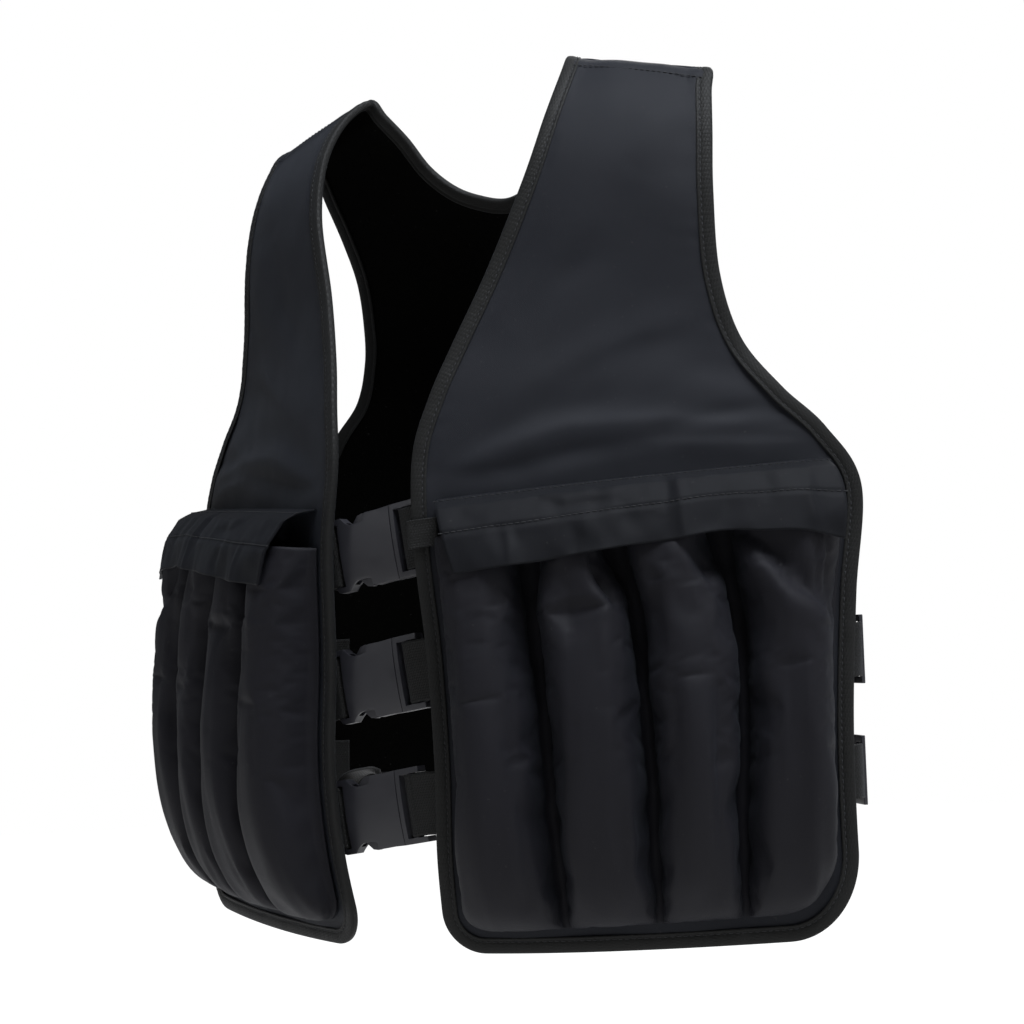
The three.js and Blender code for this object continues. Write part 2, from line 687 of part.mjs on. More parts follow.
function socketShape() {
  const shape = new THREE.Shape();
  const waist = HALF_BUCKLE - NOTCH_DEPTH;
  const middle = (NOTCH_START + NOTCH_END) / 2;
  shape.moveTo(0, -HALF_BUCKLE + 1);
  shape.lineTo(1, -HALF_BUCKLE);
  shape.lineTo(NOTCH_START, -HALF_BUCKLE);
  shape.bezierCurveTo(NOTCH_START + 3, -waist, middle - 4, -waist, middle, -waist);
  shape.bezierCurveTo(middle + 5, -waist, NOTCH_LIP - 2, -waist, NOTCH_LIP, -waist - 1);
  shape.lineTo(NOTCH_LIP, -HALF_BUCKLE + 1.5);
  shape.lineTo(NOTCH_END, -HALF_BUCKLE);
  shape.lineTo(SOCKET_LENGTH, -HALF_BUCKLE);
  shape.lineTo(SOCKET_LENGTH, HALF_BUCKLE);
  shape.lineTo(NOTCH_END, HALF_BUCKLE);
  shape.lineTo(NOTCH_LIP, HALF_BUCKLE - 1.5);
  shape.lineTo(NOTCH_LIP, waist + 1);
  shape.bezierCurveTo(NOTCH_LIP - 2, waist, middle + 5, waist, middle, waist);
  shape.bezierCurveTo(middle - 4, waist, NOTCH_START + 3, waist, NOTCH_START, HALF_BUCKLE);
  shape.lineTo(1, HALF_BUCKLE);
  shape.lineTo(0, HALF_BUCKLE - 1);
  shape.closePath();
  shape.holes.push(slotHole(BAR_WIDTH, SLOT_LENGTH));
  return shape;
}

// Takes the bar's two faces back, so that the strap wrapped round it lies flush
function thinnedBar(body, start) {
  const [from, to] = [start - BAR_WIDTH / 2, start + BAR_WIDTH * 1.5];
  const halfCut = STRAP_WIDTH / 2 + SEAT_GAP;
  const cut = toManifold(box(from, to, halfCut, BUCKLE_THICKNESS));
  const kept = toManifold(box(from, to, halfCut, BAR_THICKNESS / 2));
  return body.subtract(cut.subtract(kept));
}

function socketGeometry() {
  const cavity = toManifold(box(CAVITY_START, SOCKET_LENGTH + 1, CAVITY_HALF, CAVITY_HALF_HEIGHT));
  const body = toManifold(slab(socketShape(), BUCKLE_THICKNESS)).subtract(cavity);
  return fromManifold(thinnedBar(body, 0));
}

// Plug: a base with the strap bar, a middle prong and two arms with release tabs
const PLUG_START = SOCKET_LENGTH + PLUG_GAP;
const PLUG_SLOT = PLUG_START + BAR_WIDTH;
const PLUG_BAR = PLUG_SLOT + SLOT_LENGTH;
const PLUG_END = PLUG_START + PLUG_BASE;
const ARM_OUTER = CAVITY_HALF - PLUG_CLEARANCE;
const ARM_TIP = CAVITY_START + 6;
const TAB_END = NOTCH_LIP - PLUG_CLEARANCE;

function plugBaseShape() {
  const shape = new THREE.Shape();
  shape.moveTo(PLUG_START, -HALF_BUCKLE);
  shape.lineTo(PLUG_END, -HALF_BUCKLE);
  shape.lineTo(PLUG_END, -SLOT_HALF);
  shape.lineTo(PLUG_BAR + BAR_WIDTH, -SLOT_HALF);
  shape.lineTo(PLUG_BAR + BAR_WIDTH, SLOT_HALF);
  shape.lineTo(PLUG_END, SLOT_HALF);
  shape.lineTo(PLUG_END, HALF_BUCKLE);
  shape.lineTo(PLUG_START, HALF_BUCKLE);
  shape.closePath();
  shape.holes.push(slotHole(PLUG_SLOT, SLOT_LENGTH));
  return shape;
}

function armShape(side) {
  const shape = new THREE.Shape();
  shape.moveTo(PLUG_START + 1, side * (ARM_OUTER - ARM_WIDTH));
  shape.lineTo(PLUG_START + 1, side * ARM_OUTER);
  shape.lineTo(TAB_END, side * ARM_OUTER);
  shape.lineTo(TAB_END, side * (ARM_OUTER + TAB_BULGE - 1));
  shape.lineTo(TAB_END - 5, side * (ARM_OUTER + TAB_BULGE - 1.5));
  shape.lineTo(ARM_TIP + 3, side * ARM_OUTER);
  shape.lineTo(ARM_TIP, side * (ARM_OUTER - ARM_WIDTH / 2));
  shape.lineTo(ARM_TIP, side * (ARM_OUTER - ARM_WIDTH));
  shape.closePath();
  return shape;
}

function plugGeometry() {
  const height = 2 * (CAVITY_HALF_HEIGHT - PLUG_CLEARANCE);
  const prong = toManifold(box(CAVITY_START + 8, PLUG_START + 1, PRONG_WIDTH / 2, height / 2));
  const base = toManifold(slab(plugBaseShape(), BUCKLE_THICKNESS));
  const arms = [-1, 1].map((side) => toManifold(slab(armShape(side), height)));
  const body = arms.reduce((whole, arm) => whole.add(arm), base.add(prong));
  return fromManifold(thinnedBar(body, PLUG_BAR));
}

// Where each buckle sits between the two front edges
function buckleSeat(i) {
  const depth = BUCKLE_TOP_DEPTH + BUCKLE_PITCH * i;
  const edge = innerEdge(rowAtDepth(innerEdge, depth, 0, RIDGE));
  const origin = new THREE.Vector3(-edge.x - BUCKLE_TUCK, edge.y + BUCKLE_SETBACK, 0);
  origin.z = -depth + origin.x * Math.tan(BUCKLE_TILT);
  return origin;
}

// A point of a buckle, given in its own drawing, in the vest's frame
function bucklePoint(seat, along, acrossStrap, out) {
  const point = new THREE.Vector3(along, 0, acrossStrap);
  point.applyAxisAngle(new THREE.Vector3(0, 1, 0), -BUCKLE_TILT);
  point.y -= out;
  return point.add(seat);
}

// The turn of a strap round a bar: along is from the bar's near face, out is from its middle
const WRAP_OUT = BAR_THICKNESS / 2 + SEAT_GAP + STRAP_CLOTH / 2;
const WRAP_FAR = BAR_WIDTH + SEAT_GAP + STRAP_CLOTH / 2;
const BAR_WRAP = [
  { along: -1.0, out: WRAP_OUT },
  { along: BAR_WIDTH * 0.6, out: WRAP_OUT },
  { along: WRAP_FAR - 0.3, out: WRAP_OUT - 0.5 },
  { along: WRAP_FAR, out: WRAP_OUT - 1.6 },
  { along: WRAP_FAR, out: -WRAP_OUT + 1.6 },
  { along: WRAP_FAR - 0.3, out: -WRAP_OUT + 0.5 },
  { along: BAR_WIDTH * 0.6, out: -WRAP_OUT },
  { along: -1.0, out: -WRAP_OUT },
];

// The two legs of a strap where they are sewn under the panel's front edge
const LEG_LIFT = -PANEL_CLOTH - WEBBING_GAP - STRAP_CLOTH / 2;
const LEG_PITCH = STRAP_CLOTH + SEAT_GAP;

function sewnStation(edge, start, side, distance, depth, halfWidth, lift) {
  const ends = [halfWidth, -halfWidth].map((shift) => {
    const row = rowAtDepth(edge, depth + shift, ...start);
    const share = distance / panelWidth(row);
    const across = edge === innerEdge ? share : 1 - share;
    const point = place(across, row, lift);
    point.x *= side;
    return point;
  });
  return { low: ends[0], high: ends[1] };
}

function frontStrap(i, side) {
  const seat = buckleSeat(i);
  const depth = BUCKLE_TOP_DEPTH + BUCKLE_PITCH * i - side * STRAP_SEWN_START * Math.tan(BUCKLE_TILT);
  const sewn = (lift) => [STRAP_SEWN_END, STRAP_SEWN_START].map((distance) => (
    sewnStation(innerEdge, [0, RIDGE], side, distance, depth, STRAP_WIDTH / 2, lift)
  ));
  const wrap = BAR_WRAP.map(({ along, out }) => {
    const reach = side < 0 ? along : PLUG_BAR + BAR_WIDTH - along;
    return {
      low: bucklePoint(seat, reach, -STRAP_WIDTH / 2, out),
      high: bucklePoint(seat, reach, STRAP_WIDTH / 2, out),
    };
  });
  const stations = [...sewn(LEG_LIFT), ...wrap, ...sewn(LEG_LIFT - LEG_PITCH).reverse()];
  return ribbon(stations);
}

function frontFastenings() {
  for (let i = 0; i < BUCKLE_COUNT; i += 1) {
    const buckle = new THREE.Group();
    buckle.position.copy(buckleSeat(i));
    buckle.rotation.y = -BUCKLE_TILT;
    vest.add(buckle);
    const socket = addMesh(`buckle_socket_${i + 1}`, socketGeometry(), buckleMaterial, buckle);
    const plug = addMesh(`buckle_plug_${i + 1}`, plugGeometry(), buckleMaterial, buckle);
    for (const half of [socket, plug]) half.rotation.x = Math.PI / 2;
    addMesh(`front_strap_right_${i + 1}`, frontStrap(i, -1), webbingMaterial);
    addMesh(`front_strap_left_${i + 1}`, frontStrap(i, 1), webbingMaterial);
  }
}

// Side straps: sewn inside the front and back side edges, bowed out between them
const SLIDER_LENGTH = 2 * (SLIDER_BAR + SLIDER_SLOT) + SLIDER_CENTRE_BAR;
const WEAVE_OUT = SLIDER_THICKNESS / 2 + SEAT_GAP + STRAP_CLOTH / 2;
const SIDE_LIFT = -PANEL_CLOTH - FOLD - WEBBING_GAP - STRAP_CLOTH / 2;
const SLIDER_WEAVE = [
  { along: -SLIDER_LENGTH / 2 - 2, out: -WEAVE_OUT },
  { along: -SLIDER_CENTRE_BAR / 2 - SLIDER_SLOT, out: -WEAVE_OUT },
  { along: -SLIDER_CENTRE_BAR / 2, out: WEAVE_OUT },
  { along: SLIDER_CENTRE_BAR / 2, out: WEAVE_OUT },
  { along: SLIDER_CENTRE_BAR / 2 + SLIDER_SLOT, out: -WEAVE_OUT },
  { along: SLIDER_LENGTH / 2 + 2, out: -WEAVE_OUT },
];

function sliderSeat(front, back) {
  const frontMiddle = front.low.clone().lerp(front.high, 0.5);
  const backMiddle = back.low.clone().lerp(back.high, 0.5);
  const span = backMiddle.clone().sub(frontMiddle);
  const up = new THREE.Vector3(0, 0, 1);
  const ahead = span.clone().setZ(0).normalize();
  const out = ahead.clone().cross(up);
  const centre = frontMiddle.addScaledVector(span, SLIDER_SHARE).addScaledVector(out, SIDE_STRAP_BOW);
  return { centre, ahead, out, up };
}

function sideFastening(i) {
  const depth = SIDE_STRAP_TOP_DEPTH + SIDE_STRAP_PITCH * i;
  const half = SIDE_STRAP_WIDTH / 2;
  const sewn = (edge, start, distance) => (
    sewnStation(edge, start, 1, distance, depth, half, SIDE_LIFT)
  );
  const distances = [SIDE_SEWN_END, SIDE_SEWN_START, -SIDE_OVERRUN];
  const front = distances.map((distance) => sewn(outerEdge, [0, RIDGE], distance));
  const back = distances.toReversed().map((distance) => sewn(outerEdge, [RIDGE, BACK_HEM], distance));
  const seat = sliderSeat(front[2], back[0]);
  const weave = SLIDER_WEAVE.map(({ along, out }) => {
    const middle = seat.centre.clone().addScaledVector(seat.ahead, along).addScaledVector(seat.out, out);
    return {
      low: middle.clone().addScaledVector(seat.up, -half),
      high: middle.clone().addScaledVector(seat.up, half),
    };
  });
  return { seat, strap: ribbon([...front, ...weave, ...back]) };
}

function sliderGeometry() {
  const halfLength = SLIDER_LENGTH / 2;
  const windowHalf = SIDE_STRAP_WIDTH / 2 + PLUG_CLEARANCE;
  const plate = toManifold(box(-halfLength, halfLength, windowHalf + SLIDER_RAIL, SLIDER_THICKNESS / 2));
  const windows = [-halfLength + SLIDER_BAR, SLIDER_CENTRE_BAR / 2].map((start) => (
    toManifold(box(start, start + SLIDER_SLOT, windowHalf, SLIDER_THICKNESS))
  ));
  return fromManifold(windows.reduce((body, window) => body.subtract(window), plate));
}

function trianglesOf(geometry) {
  const flat = geometry.index ? geometry.toNonIndexed() : geometry;
  const position = flat.attributes.position;
  return Array.from({ length: position.count }, (_, i) => new THREE.Vector3().fromBufferAttribute(position, i));
}

function sideFastenings() {
  for (let i = 0; i < SIDE_STRAP_COUNT; i += 1) {
    const { seat, strap } = sideFastening(i);
    const slider = sliderGeometry();
    const turn = new THREE.Matrix4().makeBasis(seat.ahead, seat.up, seat.out).setPosition(seat.centre);
    slider.applyMatrix4(turn);
    const pieces = { side_strap: [strap, webbingMaterial], side_slider: [slider, buckleMaterial] };
    for (const [name, [geometry, material]] of Object.entries(pieces)) {
      const triangles = trianglesOf(geometry);
      addMesh(`${name}_left_${i + 1}`, solid(triangles), material);
      addMesh(`${name}_right_${i + 1}`, solid(mirroredTriangles(triangles)), material);
    }
  }
}

// Webbing tab, folded over the left front edge beside the top buckle
function edgeTab() {
  const lift = FOLD + SEWN_GAP + STRAP_CLOTH / 2;
  const beyond = -FOLD - SEWN_GAP - STRAP_CLOTH / 2;
  const at = (distance, height) => (
    sewnStation(innerEdge, [0, RIDGE], 1, distance, TAB_DEPTH, TAB_WIDTH / 2, height)
  );
  const stations = [
    at(TAB_REACH, lift - 0.8),
    at(BINDING_WIDTH, lift),
    at(0, lift),
    at(beyond + 0.8, lift - 0.3),
    at(beyond, lift - 1.4),
    at(beyond, -TAB_WRAP),
  ];
  addMesh('edge_tab', ribbon(stations), webbingMaterial);
}

frontPanel();
backPanel();
frontBinding();
backBindings();
weightPockets();
pocketFlaps();
frontFastenings();
sideFastenings();
edgeTab();

export default vest;
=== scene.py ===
# %% [markdown]
# # A weighted vest in its worn form
#
# The real vest is sewn from padded black cloth: two fronts and one back, with tape folded over
# every cut edge, four upright weight cells on each front, a stiff flap over their mouths, and
# side-release buckles on webbing down the middle. The CAD model gives every piece its size and
# place. Here each soft piece is made again with its folds, seams and threads.

# %% The frame and its box
import math

import bmesh
import bpy
import numpy as np
from mathutils import Matrix, Vector


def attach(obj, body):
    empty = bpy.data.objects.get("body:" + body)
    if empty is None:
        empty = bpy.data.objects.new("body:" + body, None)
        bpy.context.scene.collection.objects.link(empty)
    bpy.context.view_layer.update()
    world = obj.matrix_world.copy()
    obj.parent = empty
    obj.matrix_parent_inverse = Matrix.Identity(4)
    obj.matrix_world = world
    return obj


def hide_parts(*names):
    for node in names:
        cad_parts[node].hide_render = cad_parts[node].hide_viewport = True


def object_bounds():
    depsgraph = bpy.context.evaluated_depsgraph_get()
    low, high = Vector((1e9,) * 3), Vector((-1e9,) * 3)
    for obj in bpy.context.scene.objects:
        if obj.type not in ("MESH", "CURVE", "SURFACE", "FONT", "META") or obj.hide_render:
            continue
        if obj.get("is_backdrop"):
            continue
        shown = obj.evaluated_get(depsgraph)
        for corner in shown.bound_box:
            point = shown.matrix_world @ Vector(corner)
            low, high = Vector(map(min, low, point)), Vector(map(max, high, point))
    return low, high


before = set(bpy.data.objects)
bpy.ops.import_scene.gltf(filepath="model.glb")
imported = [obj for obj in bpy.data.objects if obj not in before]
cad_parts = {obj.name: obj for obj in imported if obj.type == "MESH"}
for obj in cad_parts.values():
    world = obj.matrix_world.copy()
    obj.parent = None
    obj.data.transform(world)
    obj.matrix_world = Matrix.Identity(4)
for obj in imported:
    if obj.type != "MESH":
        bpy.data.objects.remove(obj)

CAD_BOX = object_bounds()
MM = 0.001
print("CAD box in mm:", [[round(v / MM) for v in corner] for corner in CAD_BOX])


# %% Short ways to add objects and nodes
def linked(name, data):
    """A new object in the scene."""
    thing = bpy.data.objects.new(name, data)
    bpy.context.scene.collection.objects.link(thing)
    return thing


class Drawing:
    """Adds nodes to a tree. An input that is given as a socket is linked, any other is set."""

    def __init__(self, tree):
        self.tree = tree

    def fill(self, made, values):
        for key, value in dict(values).items():
            if isinstance(value, bpy.types.NodeSocket):
                self.tree.links.new(value, made.inputs[key])
            else:
                made.inputs[key].default_value = value
        return made

    def node(self, kind, values=(), **settings):
        made = self.tree.nodes.new(kind)
        for key, value in settings.items():
            setattr(made, key, value)
        return self.fill(made, values)

    def math(self, operation, *values):
        return self.node("ShaderNodeMath", enumerate(values), operation=operation).outputs[0]

    def noise(self, where, scale, detail):
        values = {"Vector": where, "Scale": scale, "Detail": detail}
        return self.node("ShaderNodeTexNoise", values).outputs["Fac"]


def new_material(name):
    """A material, the drawing of its nodes and its shader."""
    material = bpy.data.materials.new(name)
    material.use_nodes = True
    return material, Drawing(material.node_tree), material.node_tree.nodes["Principled BSDF"]


def direction(azimuth, elevation):
    """The direction from the vest to a place that is given by two angles in degrees."""
    a, e = math.radians(azimuth), math.radians(elevation)
    return Vector((math.sin(a) * math.cos(e), -math.cos(a) * math.cos(e), math.sin(e)))

# %% [markdown]
# ## The camera and the light
#
# The photograph looks at the vest from its left front and a little from below, with a long lens.
# The camera could be aimed by a constraint, but a rotation written as three axes also holds the
# small roll of the picture. The ground of the photograph is pure white, so the world is white for
# the eye and dimmer for the cloth, and four soft lamps shape the folds.

# %% The camera
AZIMUTH, ELEVATION, ROLL = 35.405, -3.263, math.radians(-1.944)
TARGET, DISTANCE = Vector((0, -14 * MM, -290 * MM)), 1.4
FOCAL_PIXELS, SHIFT_PIXELS, PICTURE = 2162.1, (43.1, 5.9), 1024
back = direction(AZIMUTH, ELEVATION)
level = Vector((0, 0, 1)).cross(back).normalized()
upright = back.cross(level)
right = level * math.cos(ROLL) + upright * math.sin(ROLL)
up = upright * math.cos(ROLL) - level * math.sin(ROLL)
camera = linked("camera", bpy.data.cameras.new("camera"))
turn = Matrix((right, up, back)).transposed().to_4x4()
camera.matrix_world = Matrix.Translation(TARGET + back * DISTANCE) @ turn
camera.data.lens = FOCAL_PIXELS * camera.data.sensor_width / PICTURE
camera.data.shift_x, camera.data.shift_y = (v / PICTURE for v in SHIFT_PIXELS)
bpy.context.scene.camera = camera
bpy.context.scene.view_settings.view_transform = "Standard"
print("lens", round(camera.data.lens, 1), "mm at", [round(v, 3) for v in camera.location])

# %% The white ground
WORLD_LIGHT, FLOOR_LIGHT, WHITE = 0.09, 0.58, (1, 1, 1, 1)
FLOOR_DEPTH, FLOOR_RADIUS, FLOOR_TONE = -0.8, 4.0, (0.2, 0.2, 0.2, 1)


def strength(draw, dim):
    """A light strength of 1 for the eye, and a lower one for what the light falls on."""
    eye = draw.node("ShaderNodeLightPath").outputs["Is Camera Ray"]
    return draw.node("ShaderNodeMapRange", {"Value": eye, "To Min": dim, "To Max": 1.0}).outputs[0]


world = bpy.data.worlds.new("studio")
bpy.context.scene.world = world
world.use_nodes = True
draw = Drawing(world.node_tree)
draw.fill(world.node_tree.nodes["Background"],
          {"Color": WHITE, "Strength": strength(draw, WORLD_LIGHT)})

bpy.ops.mesh.primitive_circle_add(vertices=96, radius=FLOOR_RADIUS, fill_type="NGON",
                                  location=(0, 0, FLOOR_DEPTH))
floor = bpy.context.object
floor.name = "floor"
pale, draw, shader = new_material("pale_floor")
draw.fill(shader, {"Base Color": FLOOR_TONE, "Roughness": 0.9, "Emission Color": WHITE,
                   "Emission Strength": strength(draw, FLOOR_LIGHT)})
floor.data.materials.append(pale)
floor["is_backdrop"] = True
print("floor at", FLOOR_DEPTH, "m")

# %% The lamps
LAMP_DISTANCE = 2.2


def lamp(name, azimuth, elevation, size, power, color):
    """A square soft lamp, given by the direction from the vest to it."""
    light, toward = linked(name, bpy.data.lights.new(name, "AREA")), direction(azimuth, elevation)
    light.data.size, light.data.energy, light.data.color = size, power, color
    light.location = TARGET + toward * LAMP_DISTANCE
    light.rotation_euler = toward.to_track_quat("Z", "Y").to_euler()


lamp("key_lamp", 64, 65, 1.0, 56, (0.90, 0.94, 1.0))
lamp("side_lamp", 100, 12, 0.8, 6, (0.95, 0.97, 1.0))
lamp("fill_lamp", -32, 14, 0.5, 1.6, (0.95, 0.97, 1.0))
lamp("back_lamp", 190, 35, 1.4, 12, (1.0, 1.0, 1.0))

# %% [markdown]
# ## The cut of the vest
#
# The same named sizes and tables as in the CAD source give both fronts and the back. A row of a
# table is a section of the panel, shares of the named sizes. The panel's surface is a straight
# chord between the inner and the outer edge, with a small crown, so any point on it is found from
# two numbers: how far across, and which row. Every other piece is sewn on this surface.

# %% Sizes and sections
NECK_WIDTH, SHOULDER_WIDTH, SHOULDER_DROP, CHEST_WIDTH = (v * MM for v in (160, 346, 21, 520))
FRONT_GAP, FRONT_LENGTH, FRONT_REACH, FRONT_DROOP = (v * MM for v in (67, 555, 118, 29))
SIDE_SET, FRONT_CROWN, BACK_WIDTH, BACK_LENGTH = (v * MM for v in (20, 10, 424, 470))
BACK_REACH, BACK_SIDE_SET, BACK_CROWN = (v * MM for v in (108, 76, 12))
FRONT_CORNER, SIDE_CORNER, BACK_CORNER = (v * MM for v in (24, 42, 30))
PANEL_CLOTH = 2.5 * MM

# height, reach, inner, outer, set, drop, droop, crown
FRONT_SECTIONS = np.array([
    (0.000, 0.83, 0.00, 0.93, 0.55, 0.00, 0.23, 1.0),
    (0.100, 0.93, 0.09, 0.93, 0.35, 0.00, 0.59, 1.0),
    (0.200, 0.96, 0.15, 0.94, 0.35, 0.00, 0.86, 1.0),
    (0.320, 0.96, 0.08, 0.96, 0.70, 0.00, 1.00, 1.0),
    (0.440, 1.00, 0.00, 1.00, 1.00, 0.00, 0.88, 0.9),
    (0.535, 0.96, -0.05, 0.81, 0.51, 0.00, 0.27, 0.7),
    (0.600, 0.88, 0.10, 0.56, -0.05, 0.16, 0.00, 0.5),
    (0.660, 0.77, 0.31, 0.30, -0.38, 0.26, 0.00, 0.4),
    (0.740, 0.63, 0.64, 0.18, -0.61, 0.43, 0.00, 0.3),
    (0.840, 0.50, 1.04, 0.15, -0.57, 0.70, 0.00, 0.3),
    (0.915, 0.36, 1.19, 0.12, -0.23, 0.86, 0.00, 0.3),
    (0.970, 0.18, 1.17, 0.06, 0.30, 0.95, 0.00, 0.2),
    (1.000, 0.00, 1.00, 0.00, 0.84, 1.00, 0.00, 0.1),
])
# fall, reach, inner, outer, side set, side fall, crown
BACK_SECTIONS = np.array([
    (0.022, 0.07, 0.915, 0.725, 0.33, 0.065, 0.00),
    (0.055, 0.18, 0.80, 0.702, 0.50, 0.121, 0.05),
    (0.096, 0.27, 0.67, 0.682, 0.66, 0.177, 0.10),
    (0.127, 0.33, 0.48, 0.671, 0.81, 0.235, 0.20),
    (0.145, 0.37, 0.27, 0.677, 0.91, 0.296, 0.32),
    (0.156, 0.39, 0.00, 0.700, 0.99, 0.358, 0.48),
    (0.259, 0.66, 0.00, 0.748, 1.00, 0.420, 0.65),
    (0.370, 0.84, 0.00, 0.838, 0.91, 0.478, 0.77),
    (0.480, 0.94, 0.00, 0.914, 0.86, 0.552, 0.87),
    (0.600, 1.00, 0.00, 0.965, 0.82, 0.645, 0.98),
    (0.780, 1.00, 0.00, 0.990, 0.80, 0.790, 1.00),
    (1.000, 0.98, 0.00, 1.000, 0.78, 1.000, 0.97),
])
RIDGE = len(FRONT_SECTIONS) - 1
NECK_ROW = RIDGE + 1 + int(np.argmax(BACK_SECTIONS[:, 2] == 0))
BACK_HEM = RIDGE + len(BACK_SECTIONS)
STEP = 0.001


def edge_points():
    """The inner edge, the outer edge and the crown at every section, front hem to back hem."""
    height, reach, inner, outer, side, drop, droop, crown = FRONT_SECTIONS.T
    low = -FRONT_LENGTH * (1 - height)
    front_in = [(FRONT_GAP + (NECK_WIDTH - FRONT_GAP) * inner) / 2, -FRONT_REACH * reach, low]
    front_out = [(SHOULDER_WIDTH + (CHEST_WIDTH - SHOULDER_WIDTH) * outer) / 2, SIDE_SET * side,
                 low - SHOULDER_DROP * drop + FRONT_DROOP * droop]
    fall, reach, inner, outer, side, side_fall, back_crown = BACK_SECTIONS.T
    back_in = [NECK_WIDTH / 2 * inner, BACK_REACH * reach, -BACK_LENGTH * fall]
    back_out = [BACK_WIDTH / 2 * outer, BACK_SIDE_SET * side, -BACK_LENGTH * side_fall]
    crowns = np.concatenate([FRONT_CROWN * crown, BACK_CROWN * back_crown])
    inner_points = np.hstack([front_in, back_in]).T
    return inner_points, np.hstack([front_out, back_out]).T, crowns[:, None]


INNER, OUTER, CROWN = edge_points()
print("sections:", len(INNER), "ridge at row", RIDGE, "neck at row", NECK_ROW)


# %% Points on the panels
def smooth(points, row):
    """Points on the smooth curve through a list of points, at rows counted along the list."""
    row = np.clip(np.asarray(row, float), 0, len(points) - 1)
    ends = np.vstack([2 * points[0] - points[1], points, 2 * points[-1] - points[-2]])
    first = np.minimum(row.astype(int), len(points) - 2)
    t = (row - first)[..., None]
    p0, p1, p2, p3 = (ends[first + k] for k in range(4))
    m1, m2 = (p2 - p0) / 2, (p3 - p1) / 2
    return (p1 + m1 * t + (3 * (p2 - p1) - 2 * m1 - m2) * t**2
            + (2 * (p1 - p2) + m1 + m2) * t**3)


def unit(v):
    return v / np.maximum(np.linalg.norm(v, axis=-1, keepdims=True), 1e-12)


def inner_edge(row):
    """The inner edge, which crosses the middle of the neck level."""
    row = np.asarray(row, float)
    p, before, t = smooth(INNER, row), INNER[NECK_ROW - 1], row - (NECK_ROW - 1)
    turn = before * (-1, 0, 0) - (INNER[NECK_ROW + 1] - before) / 2
    p += np.where((t > 0) & (t < 1), t**3 - t**2, 0)[..., None] * turn
    p[..., 0] = np.where(row >= NECK_ROW, 0, np.maximum(p[..., 0], 0))
    return p


def outer_edge(row):
    return smooth(OUTER, row)


def chord(across, row):
    start, end = inner_edge(row), outer_edge(row)
    return start + (end - start) * across[..., None]


def outward(form, across, row):
    below, above = np.maximum(0, row - STEP), np.minimum(BACK_HEM, row + STEP)
    along = form(across, above) - form(across, below)
    return unit(np.cross(form(across + STEP, row) - form(across - STEP, row), along))


def surface(across, row):
    crown = smooth(CROWN, row)[..., 0] * 4 * across * (1 - across)
    return chord(across, row) + outward(chord, across, row) * crown[..., None]


def place(across, row, lift=0.0):
    """Points that lie lift above the outside of the left half, and the normals there."""
    across, row, lift = (np.array(v, float) for v in np.broadcast_arrays(across, row, lift))
    n = outward(surface, across, row)
    n[..., 0] = np.where((across == 0) & (row >= NECK_ROW), 0, n[..., 0])
    n = unit(n)
    return surface(across, row) + n * lift[..., None], n


def width(row):
    return np.linalg.norm(outer_edge(row) - inner_edge(row), axis=-1)


ROWS = np.linspace(0, RIDGE, 4001)
HEIGHTS = inner_edge(ROWS)[:, 2] + FRONT_LENGTH


def front_row(height):
    """The row whose inner end lies at a height above the front hem."""
    return np.interp(height, HEIGHTS, ROWS)


def corner_inset(distance, radius):
    rest = np.maximum(0, radius - distance)
    return radius - np.sqrt(np.maximum(radius**2 - rest**2, 0))


print("front is", round(float(width(2.0)) / MM), "mm wide over the pockets")

# %% [markdown]
# ## Making meshes
#
# Cloth is a thin closed shell: a grid for the outside, a grid for the inside and a rim between
# them. A grid of points as an array is quick to fold and crease, and the two sides of the vest are
# one mesh and its mirror image. Each mesh carries a UV map in metres, so the weave keeps its size.


# %% Shells, tubes and pieces
def grid_faces(rows, columns, first=0, flipped=False):
    r, c = np.meshgrid(np.arange(rows - 1), np.arange(columns - 1), indexing="ij")
    a = first + r * columns + c
    quads = np.stack([a, a + 1, a + columns + 1, a + columns], -1).reshape(-1, 4)
    return quads[:, ::-1] if flipped else quads


def strip_faces(low, high):
    return np.stack([low[:-1], high[:-1], high[1:], low[1:]], -1)


def shell(outer, inner, open_from=None):
    """Points and faces of a closed sheet. The start column is left open from a row on."""
    rows, columns = outer.shape[:2]
    count = rows * columns
    number = np.arange(count).reshape(rows, columns)
    start = number[:, 0] if open_from is None else number[:open_from + 1, 0]
    faces = [
        grid_faces(rows, columns),
        grid_faces(rows, columns, count, True),
        strip_faces(number[0], number[0] + count),
        strip_faces(number[-1] + count, number[-1]),
        strip_faces(start + count, start),
        strip_faces(number[:, -1], number[:, -1] + count),
    ]
    sides = np.repeat([0, 1, 0], [len(faces[0]), len(faces[1]), sum(map(len, faces[2:]))])
    points = np.concatenate([outer.reshape(-1, 3), inner.reshape(-1, 3)])
    return points, np.concatenate(faces), sides


def tube(rings):
    """A tube through rings of points, closed at both ends."""
    count, around = rings.shape[:2]
    number = np.arange(count * around).reshape(count, around)
    ring = np.concatenate([number, number[:, :1]], 1)
    faces = np.stack([ring[:-1, :-1], ring[:-1, 1:], ring[1:, 1:], ring[1:, :-1]], -1)
    caps = [number[0][::-1].tolist(), number[-1].tolist()]
    return rings.reshape(-1, 3), faces.reshape(-1, 4).tolist() + caps


def arc_length(points):
    """Distance along a polyline at each of its points."""
    steps = np.linalg.norm(np.diff(points, axis=0), axis=-1)
    return np.concatenate([[0], np.cumsum(steps)])


